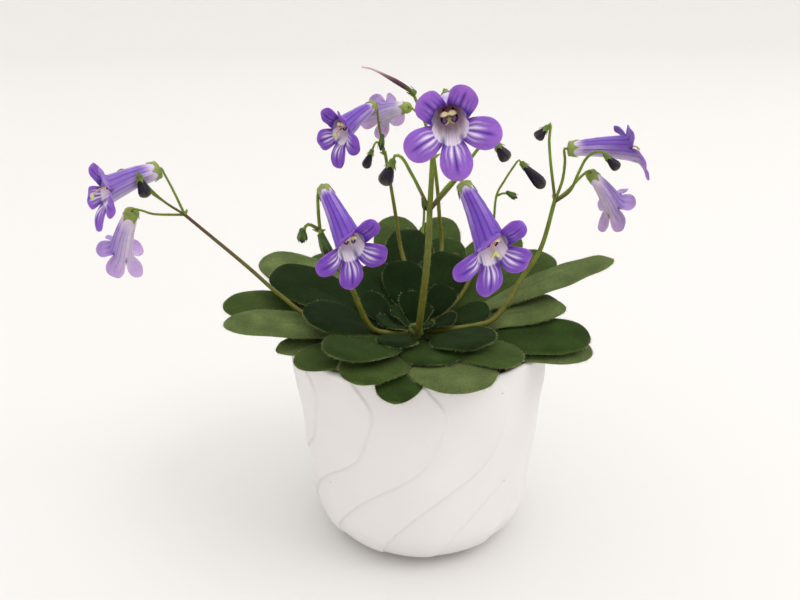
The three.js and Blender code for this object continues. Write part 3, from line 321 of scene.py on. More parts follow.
# Scapes: the main stalk with its side stalks. A side stalk has the flower or bud into whose
# calyx it runs on, its shades and its points. "green" are buds still closed in their calyx.
SCAPES = {
    "scape_left": {
        "stem": [[-6.8, -5, 75], [-16.5, -7, 78], [-26.5, -8.6, 81.2], [-36.5, -8.6, 82.6],
                 [-46.8, -7.5, 90.4], [-55.9, -6, 98.8], [-75.9, -3, 116.2]],
        "radii": [0.75, 0.72, 0.65, 0.55],
        "shades": "olive olive brown",
        "branches": [
            ["corolla_left_upper", "leafy green", [-75.9, -3, 116.2], [-79.4, -1.8, 124.7],
             [-81.9, -0.4, 129.4]],
            ["corolla_left_hanging", "leafy green", [-75.9, -3, 116.2], [-86.9, -1, 116.1], [-90.7, 0, 117]],
            ["bud_left", "brown leafy green", [-75.9, -3, 116.2], [-82, -4.4, 121.3], [-86, -7.8, 128]],
            [None, "leafy green", [-82, -4.4, 121.3], [-87.8, 1, 123.3], [-92.1, 4, 126.9],
             [-95.4, 4.5, 129.2], [-97.4, 4.5, 129.5], [-99.2, 4, 127.7]],
        ],
    },
    "scape_front_left": {
        "stem": [[-4.6, -9.8, 77], [-9, -14, 78.8], [-15.4, -18.2, 82], [-21.8, -26, 100],
                 [-27.9, -35, 117], [-29.1, -36, 120.2]],
        "radii": [0.85, 0.85, 0.8, 0.68],
        "shades": "olive olive leafy",
        "branches": [
            ["corolla_front_left", "leafy green", [-29.1, -36, 119.8], [-29.6, -33.5, 125.4],
             [-29.6, -31.2, 129.8]],
            [None, "brown green", [-29.1, -36, 120.2], [-32.4, -36.5, 122], [-34, -36.5, 119.8]],
            [None, "leafy green", [-29.1, -36, 120], [-28.9, -37.4, 120.2], [-28.5, -38.2, 118.6]],
        ],
        "green": [
            {"base": [-34, -36.5, 120], "tip": [-34.3, -36.5, 116.6], "radius": 1.4},
            {"base": [-28.6, -38.2, 119], "tip": [-26.6, -39, 113], "radius": 1.5},
        ],
    },
    "scape_front_middle": {
        "stem": [[-1.8, -10.4, 77.6], [-1.6, -16, 79.2], [-1.1, -22, 83], [0.2, -38, 102.6],
                 [0.9, -50, 118.5], [1, -58.5, 132], [1.6, -60, 146]],
        "radii": [1, 1, 0.88, 0.62],
        "shades": "olive olive leafy",
        "branches": [
            ["corolla_front_upper", "leafy green", [1.6, -60, 145], [2.6, -58.4, 154], [4.6, -57.4, 161]],
            ["corolla_front_right", "leafy green", [1, -58.2, 131.6], [4, -56.5, 135.4],
             [7.4, -54.6, 138.4]],
            ["bud_front_left", "brown leafy green", [1, -58.4, 131.6], [-3.5, -60, 141],
             [-6.2, -60, 145.4]],
            ["bud_front_right", "brown leafy green", [1, -58.4, 131.6], [7.8, -59.6, 140],
             [12.9, -59, 147.2]],
        ],
    },
    "scape_rear_left": {
        "stem": [[-2.2, 1, 76], [-2.5, 8, 81.4], [-3.2, 15, 87.2], [-5.2, 21.4, 92.4], [-6.4, 23.5, 97],
                 [-8.3, 22.4, 111], [-11.4, 19, 132]],
        "radii": [0.75, 0.75, 0.65, 0.55],
        "shades": "olive olive leafy",
        "branches": [
            ["corolla_middle_left", "brown green", [-11.4, 19, 131], [-13.2, 17.2, 141], [-13.8, 16, 147.6]],
            ["bud_middle_low", "leafy green", [-11.2, 19.2, 130.6], [-14, 16, 135.8]],
        ],
        "green": [{"base": [-12.2, 18.2, 137], "tip": [-12.8, 15.6, 133], "radius": 0.95}],
    },
    "scape_rear_capsule": {
        "stem": [[1.6, 0.8, 75.4], [4.2, 9, 80.7], [7.2, 18.5, 87.8], [8.6, 25, 92], [9, 29.2, 96.6],
                 [8, 28.6, 106], [6.9, 27.5, 118.6], [4.6, 25, 134], [1.8, 22, 142.8], [-2, 20.4, 151.8]],
        "radii": [0.75, 0.75, 0.65, 0.5],
        "shades": "olive olive green",
        "branches": [
            ["corolla_behind", "leafy green", [5, 25.4, 132], [3, 18, 138.6], [1, 11, 144.4]],
        ],
        "capsule": [[-1.6, 20.6, 151.2], [-4.4, 20.4, 153.2], [-10, 20.8, 156.4], [-15.5, 21.6, 159],
                    [-18.6, 22, 159.6]],
    },
    "scape_right": {
        "stem": [[3.2, -8.6, 76.8], [10, -11.2, 78.8], [16.5, -12.2, 80], [23.5, -11.8, 82],
                 [29, -9.5, 88], [32.9, -6.5, 93.9], [39.3, -4, 103.5], [43.8, -1, 119.5]],
        "radii": [0.95, 0.9, 0.8, 0.68],
        "shades": "olive olive leafy",
        "branches": [
            ["corolla_right_upper", "leafy leafy", [43.8, -1, 119.2], [46, 0, 125.8], [46.6, 1, 132]],
            ["corolla_right_hanging", "green green", [43.8, -1, 119.2], [48.1, 0.5, 122.2],
             [52.4, 1.6, 126.6]],
            ["bud_right_upper", "brown green green", [43.8, -1, 119.2], [43.1, 0, 124.3], [41.9, 0, 131.2],
             [41, 0, 138.6]],
            ["bud_right_outer", "brown green leafy", [43.8, -1, 118.8], [47.9, -3.4, 123],
             [49.7, -5.2, 128.8], [51.6, -7, 134.2], [53.6, -7.6, 136]],
        ],
    },
    "scape_rear_right": {
        "stem": [[3, -2.2, 77.4], [9, 1.2, 80], [14.8, 4.4, 85.2], [21, 8, 98.1], [25.6, 9, 109.9]],
        "radii": [0.72, 0.72, 0.62, 0.52],
        "shades": "olive olive leafy",
        "branches": [
            ["bud_rear_right", "leafy green", [25.4, 9, 109.2], [26.2, 9, 119.2], [28.4, 8.8, 123.6],
             [31.6, 8.4, 129]],
            [None, "leafy green", [25.8, 9, 118.4], [28, 9.6, 119.2], [30.4, 10, 119.2]],
        ],
        "green": [{"base": [30.2, 10, 119.2], "tip": [33.2, 10, 117.5], "radius": 1}],
    },
    "scape_rear_short": {
        "stem": [[-2, 2.8, 74.8], [-4, 20, 85], [-1.6, 31, 91.4], [1.4, 38, 95.4], [2.4, 41.6, 98.4],
                 [2.8, 42, 104], [2.6, 41.8, 109.4]],
        "radii": [0.6, 0.6, 0.55, 0.45],
        "shades": "olive green",
        "branches": [],
        "green": [{"base": [2.6, 41.6, 109.6], "tip": [3.9, 42.4, 104.8], "radius": 1.3}],
    },
}


def mix(first, second, share):
    """Colours between first and second, one for each share."""
    share = np.clip(np.asarray(share, float), 0, 1)[..., None]
    return first * (1 - share) + second * share


def paint(colour, *layers):
    """A colour under layers, each a colour with its share."""
    for layer, share in layers:
        colour = mix(colour, layer, share)
    return colour


def smoothstep(low, high, value):
    share = np.clip((value - low) / (high - low), 0, 1)
    return share * share * (3 - 2 * share)


def fade(low, high, value):
    """1 up to low, and 0 from high on."""
    return 1 - smoothstep(low, high, value)


def line(value, middle, width):
    """1 on a line at the middle value, and 0 away from it."""
    return np.exp(-(((value - middle) / width) ** 2))


def lookup(values, position):
    return np.interp(position, np.arange(len(values)), values)


def cubic(a, b, slope_a, slope_b, t):
    """From a to b as t goes from 0 to 1, with the slopes at the ends."""
    return (
        a + slope_a * t
        + (3 * (b - a) - 2 * slope_a - slope_b) * t**2
        + (2 * (a - b) + slope_a + slope_b) * t**3
    )


def lookup_smooth(values, position):
    """Smooth reading of a list, so that a line drawn through it has no corners."""
    values = np.asarray(values, float)
    last = len(values) - 1
    position = np.clip(position, 0, last)
    index = np.minimum(np.floor(position).astype(int), last - 1)
    a = values[index]
    b = values[index + 1]
    slope_a = (b - values[np.maximum(index - 1, 0)]) / 2
    slope_b = (values[np.minimum(index + 2, last)] - a) / 2
    return cubic(a, b, slope_a, slope_b, position - index)


def smooth_at_share(values, share):
    return lookup_smooth(values, share * (len(values) - 1))


def unit(vectors):
    vectors = np.asarray(vectors, float)
    return vectors / np.maximum(np.linalg.norm(vectors, axis=-1, keepdims=True), 1e-12)


def round_angles(count):
    return np.arange(count) / count * 2 * math.pi


def between(first, second, angle):
    """Directions at the angles from one direction towards another that is square to it."""
    return first * np.cos(angle)[..., None] + second * np.sin(angle)[..., None]


def level_ring(angle, radius, height):
    """Points round the upright axis, all at one height."""
    return np.stack([np.cos(angle) * radius, np.sin(angle) * radius, np.full(len(angle), height)], 1)


def ripple(points, wavelength, seed):
    """Smooth uneven values, from about -1 to 1, over the points."""
    random = np.random.default_rng(seed)
    total = np.zeros(points.shape[:-1])
    for _ in range(7):
        wave = unit(random.normal(size=3)) * 2 * math.pi / (wavelength * random.uniform(0.7, 1.5))
        total += np.sin(points @ wave + random.uniform(0, 2 * math.pi))
    return total / 3.5


class Shape:
    """The triangles of one piece, with a colour at each point and a material for each triangle."""

    def __init__(self):
        self.points = []
        self.tints = []
        self.faces = []
        self.materials = []
        self.count = 0

    def add(self, points, faces, tint, material=0):
        points = np.asarray(points, float).reshape(-1, 3)
        faces = np.asarray(faces, int).reshape(-1, 3)
        self.points.append(points)
        self.tints.append(np.broadcast_to(np.asarray(tint, float), points.shape))
        self.faces.append(faces + self.count)
        self.materials.append(np.full(len(faces), material))
        self.count += len(points)

    def place(self, name, materials):
        """Puts a smooth Blender object with the triangles into the scene."""
        mesh = bpy.data.meshes.new(name)
        mesh.from_pydata(np.concatenate(self.points) * MM, [], np.concatenate(self.faces))
        mesh.shade_smooth()
        mesh.polygons.foreach_set("material_index", np.concatenate(self.materials))
        tints = np.clip(np.concatenate(self.tints), 0, 1)
        attribute = mesh.color_attributes.new("tint", "FLOAT_COLOR", "POINT")
        attribute.data.foreach_set("color", np.insert(tints, 3, 1, axis=1).ravel())
        for material in materials:
            mesh.materials.append(material)
        placed = bpy.data.objects.new(name, mesh)
        bpy.context.scene.collection.objects.link(placed)
        return placed

    def build(self, node, materials):
        """Places the piece that is seen instead of the node."""
        piece = self.place(node + "_fine", materials)
        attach(piece, "root")
        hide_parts(node)


def grid_faces(rows, columns, closed=False):
    """Triangles of a grid whose points are listed row by row."""
    wide = columns if closed else columns - 1
    i, j = np.meshgrid(np.arange(rows - 1), np.arange(wide), indexing="ij")
    a = (i * columns + j).ravel()
    b = (i * columns + (j + 1) % columns).ravel()
    c = a + columns
    d = b + columns
    return np.concatenate([np.stack([a, c, d], 1), np.stack([a, d, b], 1)])


def turned_faces(rows, columns):
    """Triangles of a surface of rings, with the rings listed upwards on its outside."""
    return grid_faces(rows, columns, closed=True)[:, ::-1]


def fan_faces(centre, ring, flip=False):
    """Triangles from one point to a ring or row of points."""
    ring = np.asarray(ring)
    first = ring[:-1]
    second = ring[1:]
    if flip:
        first, second = second, first
    return np.stack([np.full(len(first), centre), first, second], 1)


def capped_faces(rows, sides):
    """Triangles of a closed tube, whose two end points are listed after its rings."""
    ring = np.append(np.arange(sides), 0)
    return np.concatenate([
        turned_faces(rows, sides),
        fan_faces(rows * sides, ring, flip=True),
        fan_faces(rows * sides + 1, ring + (rows - 1) * sides),
    ])


def face_crosses(points, faces):
    """For each triangle, its direction times twice its area."""
    a, b, c = points[faces.T]
    return np.cross(b - a, c - a)


def point_normals(points, faces):
    across = face_crosses(points, faces)
    normals = np.zeros_like(points)
    for corner in faces.T:
        np.add.at(normals, corner, across)
    return unit(normals)


def edge_lines(faces, count):
    """The directed edges that only one triangle has."""
    edges = np.concatenate([faces[:, [0, 1]], faces[:, [1, 2]], faces[:, [2, 0]]])
    forward = edges[:, 0] * count + edges[:, 1]
    backward = edges[:, 1] * count + edges[:, 0]
    return edges[~np.isin(backward, forward)]


def thicken(points, faces, thickness):
    """Closes an open sheet into a solid, with half of its thickness on each side."""
    normals = point_normals(points, faces)
    half = (thickness / 2)[:, None]
    count = len(points)
    rim = edge_lines(faces, count)
    start, end = rim.T
    solid = np.concatenate([points + normals * half, points - normals * half])
    triangles = np.concatenate([
        faces,
        faces[:, ::-1] + count,
        np.stack([start, start + count, end + count], 1),
        np.stack([start, end + count, end], 1),
    ])
    return solid, triangles, normals, rim


def smooth_curve(knots, count):
    """Points at even steps along a centripetal curve through the knots, and its length."""
    knots = np.asarray(knots, float)
    path = np.concatenate([[2 * knots[0] - knots[1]], knots, [2 * knots[-1] - knots[-2]]])
    samples = []
    for i in range(len(knots) - 1):
        p0, p1, p2, p3 = path[i:i + 4]
        d0, d1, d2 = (max(np.linalg.norm(b - a) ** 0.5, 1e-4) for a, b in ((p0, p1), (p1, p2), (p2, p3)))
        slope_1 = ((p1 - p0) / d0 - (p2 - p0) / (d0 + d1) + (p2 - p1) / d1) * d1
        slope_2 = ((p2 - p1) / d1 - (p3 - p1) / (d1 + d2) + (p3 - p2) / d2) * d1
        t = np.linspace(0, 1, 24, endpoint=i == len(knots) - 2)[:, None]
        samples.append(cubic(p1, p2, slope_1, slope_2, t))
    samples = np.concatenate(samples)
    along = np.concatenate([[0], np.cumsum(np.linalg.norm(np.diff(samples, axis=0), axis=1))])
    return columns_at(np.linspace(0, along[-1], count), along, samples), along[-1]


def columns_at(wanted, along, values):
    """Each column of the values, read at the wanted places along them."""
    return np.stack([np.interp(wanted, along, values[:, k]) for k in range(3)], 1)


def path_frames(path):
    """Two cross directions at each point of a path, turning as little as they can."""
    tangents = unit(np.gradient(path, axis=0))
    helper = np.array([0, 0, 1.0]) if abs(tangents[0][2]) < 0.9 else np.array([1.0, 0, 0])
    side = unit(np.cross(tangents[0], helper))
    sides = []
    for tangent in tangents:
        side = unit(side - tangent * (side @ tangent))
        sides.append(side)
    sides = np.array(sides)
    return tangents, sides, np.cross(tangents, sides)


def tint_along(colours):
    """Colour along a tube that runs through the colours."""
    colours = np.array(colours)
    return lambda share: columns_at(share * (len(colours) - 1), np.arange(len(colours)), colours)


def add_tube(shape, knots, radii, tint, sides=9, step=1.0):
    """A closed tube along a smooth curve. The tint is one colour or a function of the share along it."""
    length = np.linalg.norm(np.diff(np.asarray(knots, float), axis=0), axis=1).sum()
    count = max(5, int(length / step) + 2)
    path, length = smooth_curve(knots, count)
    share = np.linspace(0, 1, count)
    radius = smooth_at_share(radii, share)
    tangents, side, other = path_frames(path)
    ring = between(side[:, None], other[:, None], round_angles(sides))
    points = np.concatenate([
        (path[:, None] + ring * radius[:, None, None]).reshape(-1, 3),
        [path[0] - tangents[0] * radius[0] * 0.5],
        [path[-1] + tangents[-1] * radius[-1] * 0.5],
    ])
    shares = np.concatenate([np.repeat(share, sides), [0, 1]])
    shape.add(points, capped_faces(count, sides), tint(shares) if callable(tint) else tint)
    return path, tangents, radius, length


def add_hairs(shape, roots, directions, lengths, tint, radius=STALK_HAIR_RADIUS):
    """Thin pointed hairs in the second material, each a closed three-sided spike."""
    directions = unit(directions)
    helper = np.where(np.abs(directions[:, 2:]) < 0.9, [[0, 0, 1.0]], [[1.0, 0, 0]])
    side = unit(np.cross(directions, helper))
    other = np.cross(directions, side)
    roots = roots - directions * HAIR_ROOT_DEPTH
    corners = [
        roots + (side * math.cos(angle) + other * math.sin(angle)) * radius
        for angle in (0, 2 * math.pi / 3, 4 * math.pi / 3)
    ]
    corners.append(roots + directions * (np.asarray(lengths)[:, None] + HAIR_ROOT_DEPTH))
    start = (np.arange(len(roots)) * 4)[:, None, None]
    faces = start + np.array([[0, 2, 1], [0, 1, 3], [1, 2, 3], [2, 0, 3]])
    shape.add(np.stack(corners, 1), faces, tint, 1)


def scatter(points, faces, count, random):
    """Random places on a skin, even over its area, with the skin's direction there."""
    a, b, c = points[faces.T]
    across = face_crosses(points, faces)
    area = np.linalg.norm(across, axis=1)
    chosen = random.choice(len(faces), size=count, p=area / area.sum())
    u = random.random(count)
    v = random.random(count)
    flip = u + v > 1
    u = np.where(flip, 1 - u, u)[:, None]
    v = np.where(flip, 1 - v, v)[:, None]
    places = a[chosen] + (b - a)[chosen] * u + (c - a)[chosen] * v
    return places, unit(across[chosen])


class Nodes:
    """A node tree and the ways in which this script adds to it."""

    def __init__(self, tree):
        self.tree = tree

    def node(self, kind, links=None, **settings):
        made = self.tree.nodes.new(kind)
        for name, value in settings.items():
            if name in made.inputs:
                made.inputs[name].default_value = value
            else:
                setattr(made, name, value)
        for socket, source in (links or {}).items():
            self.tree.links.new(source, made.inputs[socket])
        return made

    def spread(self, source, low, high, start=0.3, end=0.7):
        """The source's values from start to end, spread from low to high."""
        made = self.node("ShaderNodeMapRange", {"Value": source})
        for name, value in (("From Min", start), ("From Max", end), ("To Min", low), ("To Max", high)):
            made.inputs[name].default_value = value
        return made.outputs["Result"]


class Finish(Nodes):
    """A procedural material: its shader's plain values, and nodes that feed its colour and bump."""

    def __init__(self, name, **values):
        self.material = bpy.data.materials.new(name)
        self.material.use_nodes = True
        super().__init__(self.material.node_tree)
        self.shader = self.tree.nodes["Principled BSDF"]
        for socket, value in values.items():
            self.shader.inputs[socket.replace("_", " ")].default_value = value

    def place(self):
        return self.node("ShaderNodeTexCoord").outputs["Object"]

    def noise(self, scale, detail):
        return self.node("ShaderNodeTexNoise", {"Vector": self.place()}, Scale=scale, Detail=detail,
                         Roughness=0.55).outputs["Fac"]

    def clouded_tint(self, *clouds):
        """The piece's own colours under noise, each with its scale, detail, lowest and highest value."""
        colour = self.node("ShaderNodeAttribute", attribute_name="tint").outputs["Color"]
        for scale, detail, low, high in clouds:
            amount = self.spread(self.noise(scale, detail), low, high)
            made = self.node("ShaderNodeVectorMath", {0: colour, "Scale": amount}, operation="SCALE")
            colour = made.outputs["Vector"]
        return colour

    def colour(self, source):
        self.tree.links.new(source, self.shader.inputs["Base Color"])

    def bump(self, scale, detail, distance, strength=1.0):
        """Noise as relief, with its height in metres."""
        height = self.noise(scale, detail)
        made = self.node("ShaderNodeBump", {"Height": height}, Distance=distance, Strength=strength)
        self.tree.links.new(made.outputs["Normal"], self.shader.inputs["Normal"])


def skin(name, clouds, bump, **values):
    """A finish with clouds over its colours and, where a bump is given, a fine relief."""
    finish = Finish(name, **values)
    finish.colour(finish.clouded_tint(*clouds))
    if bump:
        finish.bump(*bump)
    return finish.material


def glaze_finish():
    """White glazed ceramic, satin, with a few dark specks in the glaze."""
    finish = Finish("white_glaze", Roughness=0.42, Coat_Weight=0.1, Coat_Roughness=0.35,
                    Specular_IOR_Level=0.35)
    cells = finish.node("ShaderNodeTexVoronoi", {"Vector": finish.place()}, Scale=95.0)
    speck = finish.spread(cells.outputs["Distance"], 1.0, 0.0, 0.016, 0.034)
    some = finish.spread(finish.noise(60, 0), 0.0, 1.0, 0.56, 0.6)
    dark = finish.node("ShaderNodeMath", {0: speck, 1: some}, operation="MULTIPLY")
    tint = finish.clouded_tint((38, 2, 0.975, 1.015))
    mixed = finish.node("ShaderNodeMix", {"Factor": dark.outputs[0], "A": tint}, data_type="RGBA",
                        B=(*GLAZE_SPECK, 1))
    finish.colour(mixed.outputs["Result"])
    finish.bump(420, 2, 0.00003, 0.5)
    return finish.material


def slope_radius(height):
    return FOOT_SLOPE_RADIUS + (RIM_RADIUS - FOOT_SLOPE_RADIUS) * height / POT_HEIGHT


def inner_radius(height):
    share = (height - FLOOR_THICKNESS) / (POT_HEIGHT - FLOOR_THICKNESS)
    return INNER_FOOT_RADIUS + (RIM_INNER_RADIUS - INNER_FOOT_RADIUS) * share


def make_pot():
    """The bands rise slowly from one swirl line to the next and step down at it."""
    shares = np.array(BAND_SHARES)
    rise = 0.42 * smoothstep(-0.15, 0.55, shares) + 0.58 * smoothstep(0.3, 0.93, shares)
    rise = rise * fade(0.955, 0.998, shares) - 0.05
    band_angle = np.concatenate([(band + shares) * 360 / SWIRL_BANDS for band in range(SWIRL_BANDS)])
    band_rise = np.tile(rise, SWIRL_BANDS)
    rows = []

    def ring(height, radius, relief):
        turn = smooth_at_share(SWIRL_TURN, height / POT_HEIGHT)
        reach = radius + SWIRL_RELIEF * relief * (band_rise - BAND_MIDDLE_RISE)
        rows.append(level_ring(np.radians(turn + band_angle - 90), reach, height))

    for radius in FOOT_RINGS:
        ring(0.0, radius, 0)
    for angle in np.linspace(0, 76, 17):
        height = FOOT_ROUNDING * (1 - math.cos(math.radians(angle)))
        radius = FOOT_FLAT_RADIUS + FOOT_ROUNDING * math.sin(math.radians(angle))
        ring(height, min(radius, slope_radius(height)), smoothstep(4, 60, angle))
    for height in np.linspace(SLOPE_START, POT_HEIGHT - 1.6, 56):
        ring(height, slope_radius(height), 1)
    lip = (RIM_RADIUS - RIM_INNER_RADIUS) / 2
    lip_middle = (RIM_RADIUS + RIM_INNER_RADIUS) / 2 - 0.05
    for angle in np.linspace(0, 180, 13):
        height = POT_HEIGHT - RIM_ROUNDING + RIM_ROUNDING * math.sin(math.radians(angle))
        ring(height, lip_middle + lip * math.cos(math.radians(angle)), smoothstep(100, 0, angle))
    for height in (POT_HEIGHT - 3, 70, 66, 50, 30, FLOOR_THICKNESS + 6, FLOOR_THICKNESS + 2):
        ring(height, inner_radius(height) - (1.5 if height < 10 else 0), 0)
    for radius in FLOOR_RINGS:
        ring(FLOOR_THICKNESS, radius, 0)
    shape = Shape()
    shape.add(np.concatenate(rows), turned_faces(len(rows), len(band_angle)), GLAZE)
    shape.build("pot", [glaze_finish()])


def make_soil():
    """The mix that fills the pot, uneven on top, with loose grains."""
    random = np.random.default_rng(5)
    angle = round_angles(SOIL_COLUMNS)
    edge = inner_radius(SOIL_LEVEL - 1) - SOIL_GAP
    rows = [level_ring(angle, radius, height) for radius, height in (
        (0.01, FLOOR_THICKNESS + 0.6),
        (INNER_FOOT_RADIUS - 10, FLOOR_THICKNESS + 0.6),
        (inner_radius(FLOOR_THICKNESS + 6) - 1.2, FLOOR_THICKNESS + 8),
        (inner_radius(40) - SOIL_GAP, 40),
        (edge, SOIL_LEVEL - 1.2),
    )]
    top = np.linspace(edge - 0.6, 0.01, SOIL_TOP_ROWS)
    for radius in top:
        row = level_ring(angle, radius, SOIL_LEVEL - 0.4 + 0.8 * (1 - radius / top[0]))
        row[:, 2] += 0.7 * ripple(row, 9, 71) + 0.4 * ripple(row, 3.2, 72)
        rows.append(row)
    shape = Shape()
    points = np.concatenate(rows)
    dark = mix(srgb(40, 30, 24), srgb(66, 50, 38), 0.5 + 0.5 * ripple(points, 4, 73))
    shape.add(points, turned_faces(len(rows), SOIL_COLUMNS), dark)

    # Loose grains on top, each a lumpy eight-sided crumb
    corners = np.array([[1, 0, 0], [-1, 0, 0], [0, 1, 0], [0, -1, 0], [0, 0, 1], [0, 0, -1]], float)
    crumb_faces = [[0, 2, 4], [2, 1, 4], [1, 3, 4], [3, 0, 4], [2, 0, 5], [1, 2, 5], [3, 1, 5], [0, 3, 5]]
    for _ in range(SOIL_GRAINS):
        turn = random.uniform(0, 2 * math.pi)
        radius = 41 * math.sqrt(random.uniform(0.02, 0.95))
        size = random.uniform(0.35, 1.1)
        spin = Matrix.Rotation(random.uniform(0, 6.3), 3, Vector(unit(random.normal(size=3))))
        crumb = corners * random.uniform(0.6, 1.25, size=(6, 1)) * size @ np.array(spin)
        crumb += [math.cos(turn) * radius, math.sin(turn) * radius, SOIL_LEVEL + 0.3]
        shape.add(crumb, crumb_faces, mix(srgb(32, 24, 19), srgb(96, 74, 54), random.random() ** 2))
    mix_skin = skin("potting_mix", [(900, 4, 0.55, 1.5)], (1400, 4, 0.0005), Roughness=0.95)
    shape.build("soil", [mix_skin])


def whorl_pitch(whorl, direction):
    """Slope of a whorl's bowl on the side that faces the given direction."""
    rearward = np.sin(direction)
    front = lookup(PITCH_FRONT, whorl)
    side = lookup(PITCH_SIDE, whorl)
    rear = lookup(PITCH_REAR, whorl)
    slant = (rear - front) / 2
    bulge = (rear + front) / 2 - side
    return np.radians(side + slant * rearward + bulge * rearward * rearward)


def bowl_point(whorl, x, y, lift):
    out = np.hypot(x, y) - lookup(WHORL_RADIUS, whorl)
    slope = np.tan(whorl_pitch(whorl, np.arctan2(y, x)))
    height = lookup(WHORL_HEIGHT, whorl) + slope * out + LEAF_SAG * out * (LEAF_SAG_REACH - out)
    return np.stack([
        ROSETTE_CENTRE[0] + x,
        ROSETTE_CENTRE[1] - HEART_LEAN * whorl + y,
        height + lift,
    ], -1)


def blade_half_width(t, width, stalk):
    """A narrow stalk that widens into a broad blade with a round tip."""
    petiole = PETIOLE_HALF_WIDTH * np.sqrt(np.maximum(0, 1 - t**6))
    q = np.clip((t - stalk) / (1 - stalk), 0, 1)
    rising = np.sin(math.pi / 2 * q / WIDEST_SHARE)
    falling = np.sqrt(np.maximum(0, 1 - (np.maximum(q - WIDEST_SHARE, 0) / (1 - WIDEST_SHARE)) ** 2.4))
    blade = np.where(q < WIDEST_SHARE, rising, falling)
    return (petiole**3 + (width / 2 * blade) ** 3) ** (1 / 3)


def add_leaf(shape, seed, azimuth, whorl, length, width, tone, unusual=None, in_heart=False):
    """One leaf on its whorl's bowl: a soft pillow with a grooved midrib, rounded margins and hairs."""
    unusual = unusual or {}
    random = np.random.default_rng(seed)
    turn = math.radians(azimuth)
    inset = 2 if in_heart else 0
    radius = lookup(WHORL_RADIUS, whorl) - inset
    reach = length * math.cos(whorl_pitch(whorl, turn)) + inset
    stalk = unusual.get("stalk", 0.12)
    row_count, line_count = HEART_LEAF_GRID if in_heart else LEAF_GRID
    rows = 1 - (1 - np.linspace(0, 1, row_count + 1)[:-1]) ** 1.75
    even = np.linspace(-1, 1, line_count)
    t, s = np.meshgrid(rows, 0.35 * even + 0.65 * np.sin(even * math.pi / 2), indexing="ij")
    t = np.append(t.ravel(), 1.0)
    s = np.append(s.ravel(), 0.0)
    side = np.abs(s)

    across = blade_half_width(t, width, stalk) * s
    edge = across / (width / 2)
    blade = smoothstep(stalk, stalk + 0.25, t)
    outer = np.clip((t - 0.5) / 0.5, 0, 1)
    lift = unusual.get("cup", 0.3) * edge * edge * np.minimum(1, t * 1.6)
    lift += unusual.get("twist", 0) * edge * t
    lift += LEAF_WAVE * edge * np.sin(np.radians(t * 520 + azimuth * 3)) * t
    lift -= unusual.get("droop", 1) * outer * outer
    vein = (t * length - np.abs(across) * 0.9) / SIDE_VEIN_SPACING
    rib = line(s, 0, 0.075) * fade(0.6, 0.92, t)
    side_vein = line((vein + seed * 0.37) % 1, 0.5, 0.13) * blade * (1 - side**3) * (1 - rib)
    lift -= MIDRIB_DEPTH * rib * blade + SIDE_VEIN_DEPTH * side_vein
    drop = HEART_MARGIN_DROP if in_heart else MARGIN_DROP
    lift -= drop * blade * np.maximum(side, smoothstep(0.8, 1, t)) ** 5
    along = radius + reach * t
    x = along * math.cos(turn) - across * math.sin(turn)
    y = along * math.sin(turn) + across * math.cos(turn)
    points = bowl_point(whorl, x, y, lift)
    points[:, 2] += LEAF_RIPPLE * blade * ripple(points, 13, seed + 300)

    count = len(points)
    tip = count - 1
    faces = np.concatenate([
        grid_faces(row_count, line_count),
        fan_faces(tip, np.arange(tip - line_count, tip), flip=True),
    ])
    body = 0.7 + 0.5 * (1 - side) ** 0.7 + 0.25 * rib
    thickness = body * (1 - side**9) ** 0.5 * (1 - smoothstep(0.93, 1, t) * 0.75) + 0.16
    solid, triangles, normals, rim = thicken(points, faces, thickness * (0.85 if in_heart else 1))

    # The soft and pale tones carry painted sheen of the down, in the skin and in the hairs
    tone, down_share = LEAF_TONES[tone]
    tone = tone * random.uniform(0.94, 1.06)
    margin = smoothstep(0.93, 1, np.maximum(side, (t > 0.985) * 1.0))
    top = paint(
        tone,
        (tone * 1.3, 0.35 + 0.5 * ripple(points, 9, seed + 500)),
        # Painted shade: the top is darker along the grooved midrib and side veins
        (tone * 0.72, 0.55 * rib + 0.1 * side_vein),
        (LEAF_MARGIN, (0.12 + 0.4 * down_share) * margin),
        (LEAF_STALK, 0.5 * fade(0.05, 0.24, t)),
    )
    below = paint(LEAF_UNDERSIDE, (LEAF_STALK, 0.4 * rib), (LEAF_STALK, 0.6 * fade(0.05, 0.26, t)))
    shape.add(solid, triangles, np.concatenate([top, below]))

    # Downy upper face
    area = np.linalg.norm(face_crosses(points, faces), axis=1).sum() / 2
    hair_count = int(area * LEAF_HAIRS_PER_SQUARE_MM)
    roots, upward = scatter(solid[:count], faces, hair_count, random)
    lean = unit(np.array([math.cos(turn), math.sin(turn), 0.1]))
    directions = upward + 0.45 * random.normal(size=(hair_count, 3)) + 0.3 * lean
    lengths = random.uniform(0.4, 0.95, hair_count)
    shade = random.uniform(0.45, 1.0, (hair_count, 1))
    down = mix(tone * 1.4, LEAF_DOWN, down_share)
    add_hairs(shape, roots, directions, lengths, np.repeat(down * shade, 4, axis=0), LEAF_HAIR_RADIUS)

    # Fringe along the margin
    start, end = points[rim.T]
    length = np.linalg.norm(end - start, axis=1)
    fringe = int(length.sum() * FRINGE_HAIRS_PER_MM)
    chosen = random.choice(len(rim), size=fringe, p=length / length.sum())
    roots = start[chosen] + (end - start)[chosen] * random.random((fringe, 1))
    outward = unit(np.cross(end - start, normals[rim[:, 0]])[chosen])
    directions = outward + 0.35 * random.normal(size=(fringe, 3)) + 0.3 * normals[rim[:, 0]][chosen]
    add_hairs(shape, roots, directions, random.uniform(0.45, 1.25, fringe), LEAF_HAIR, FRINGE_HAIR_RADIUS)


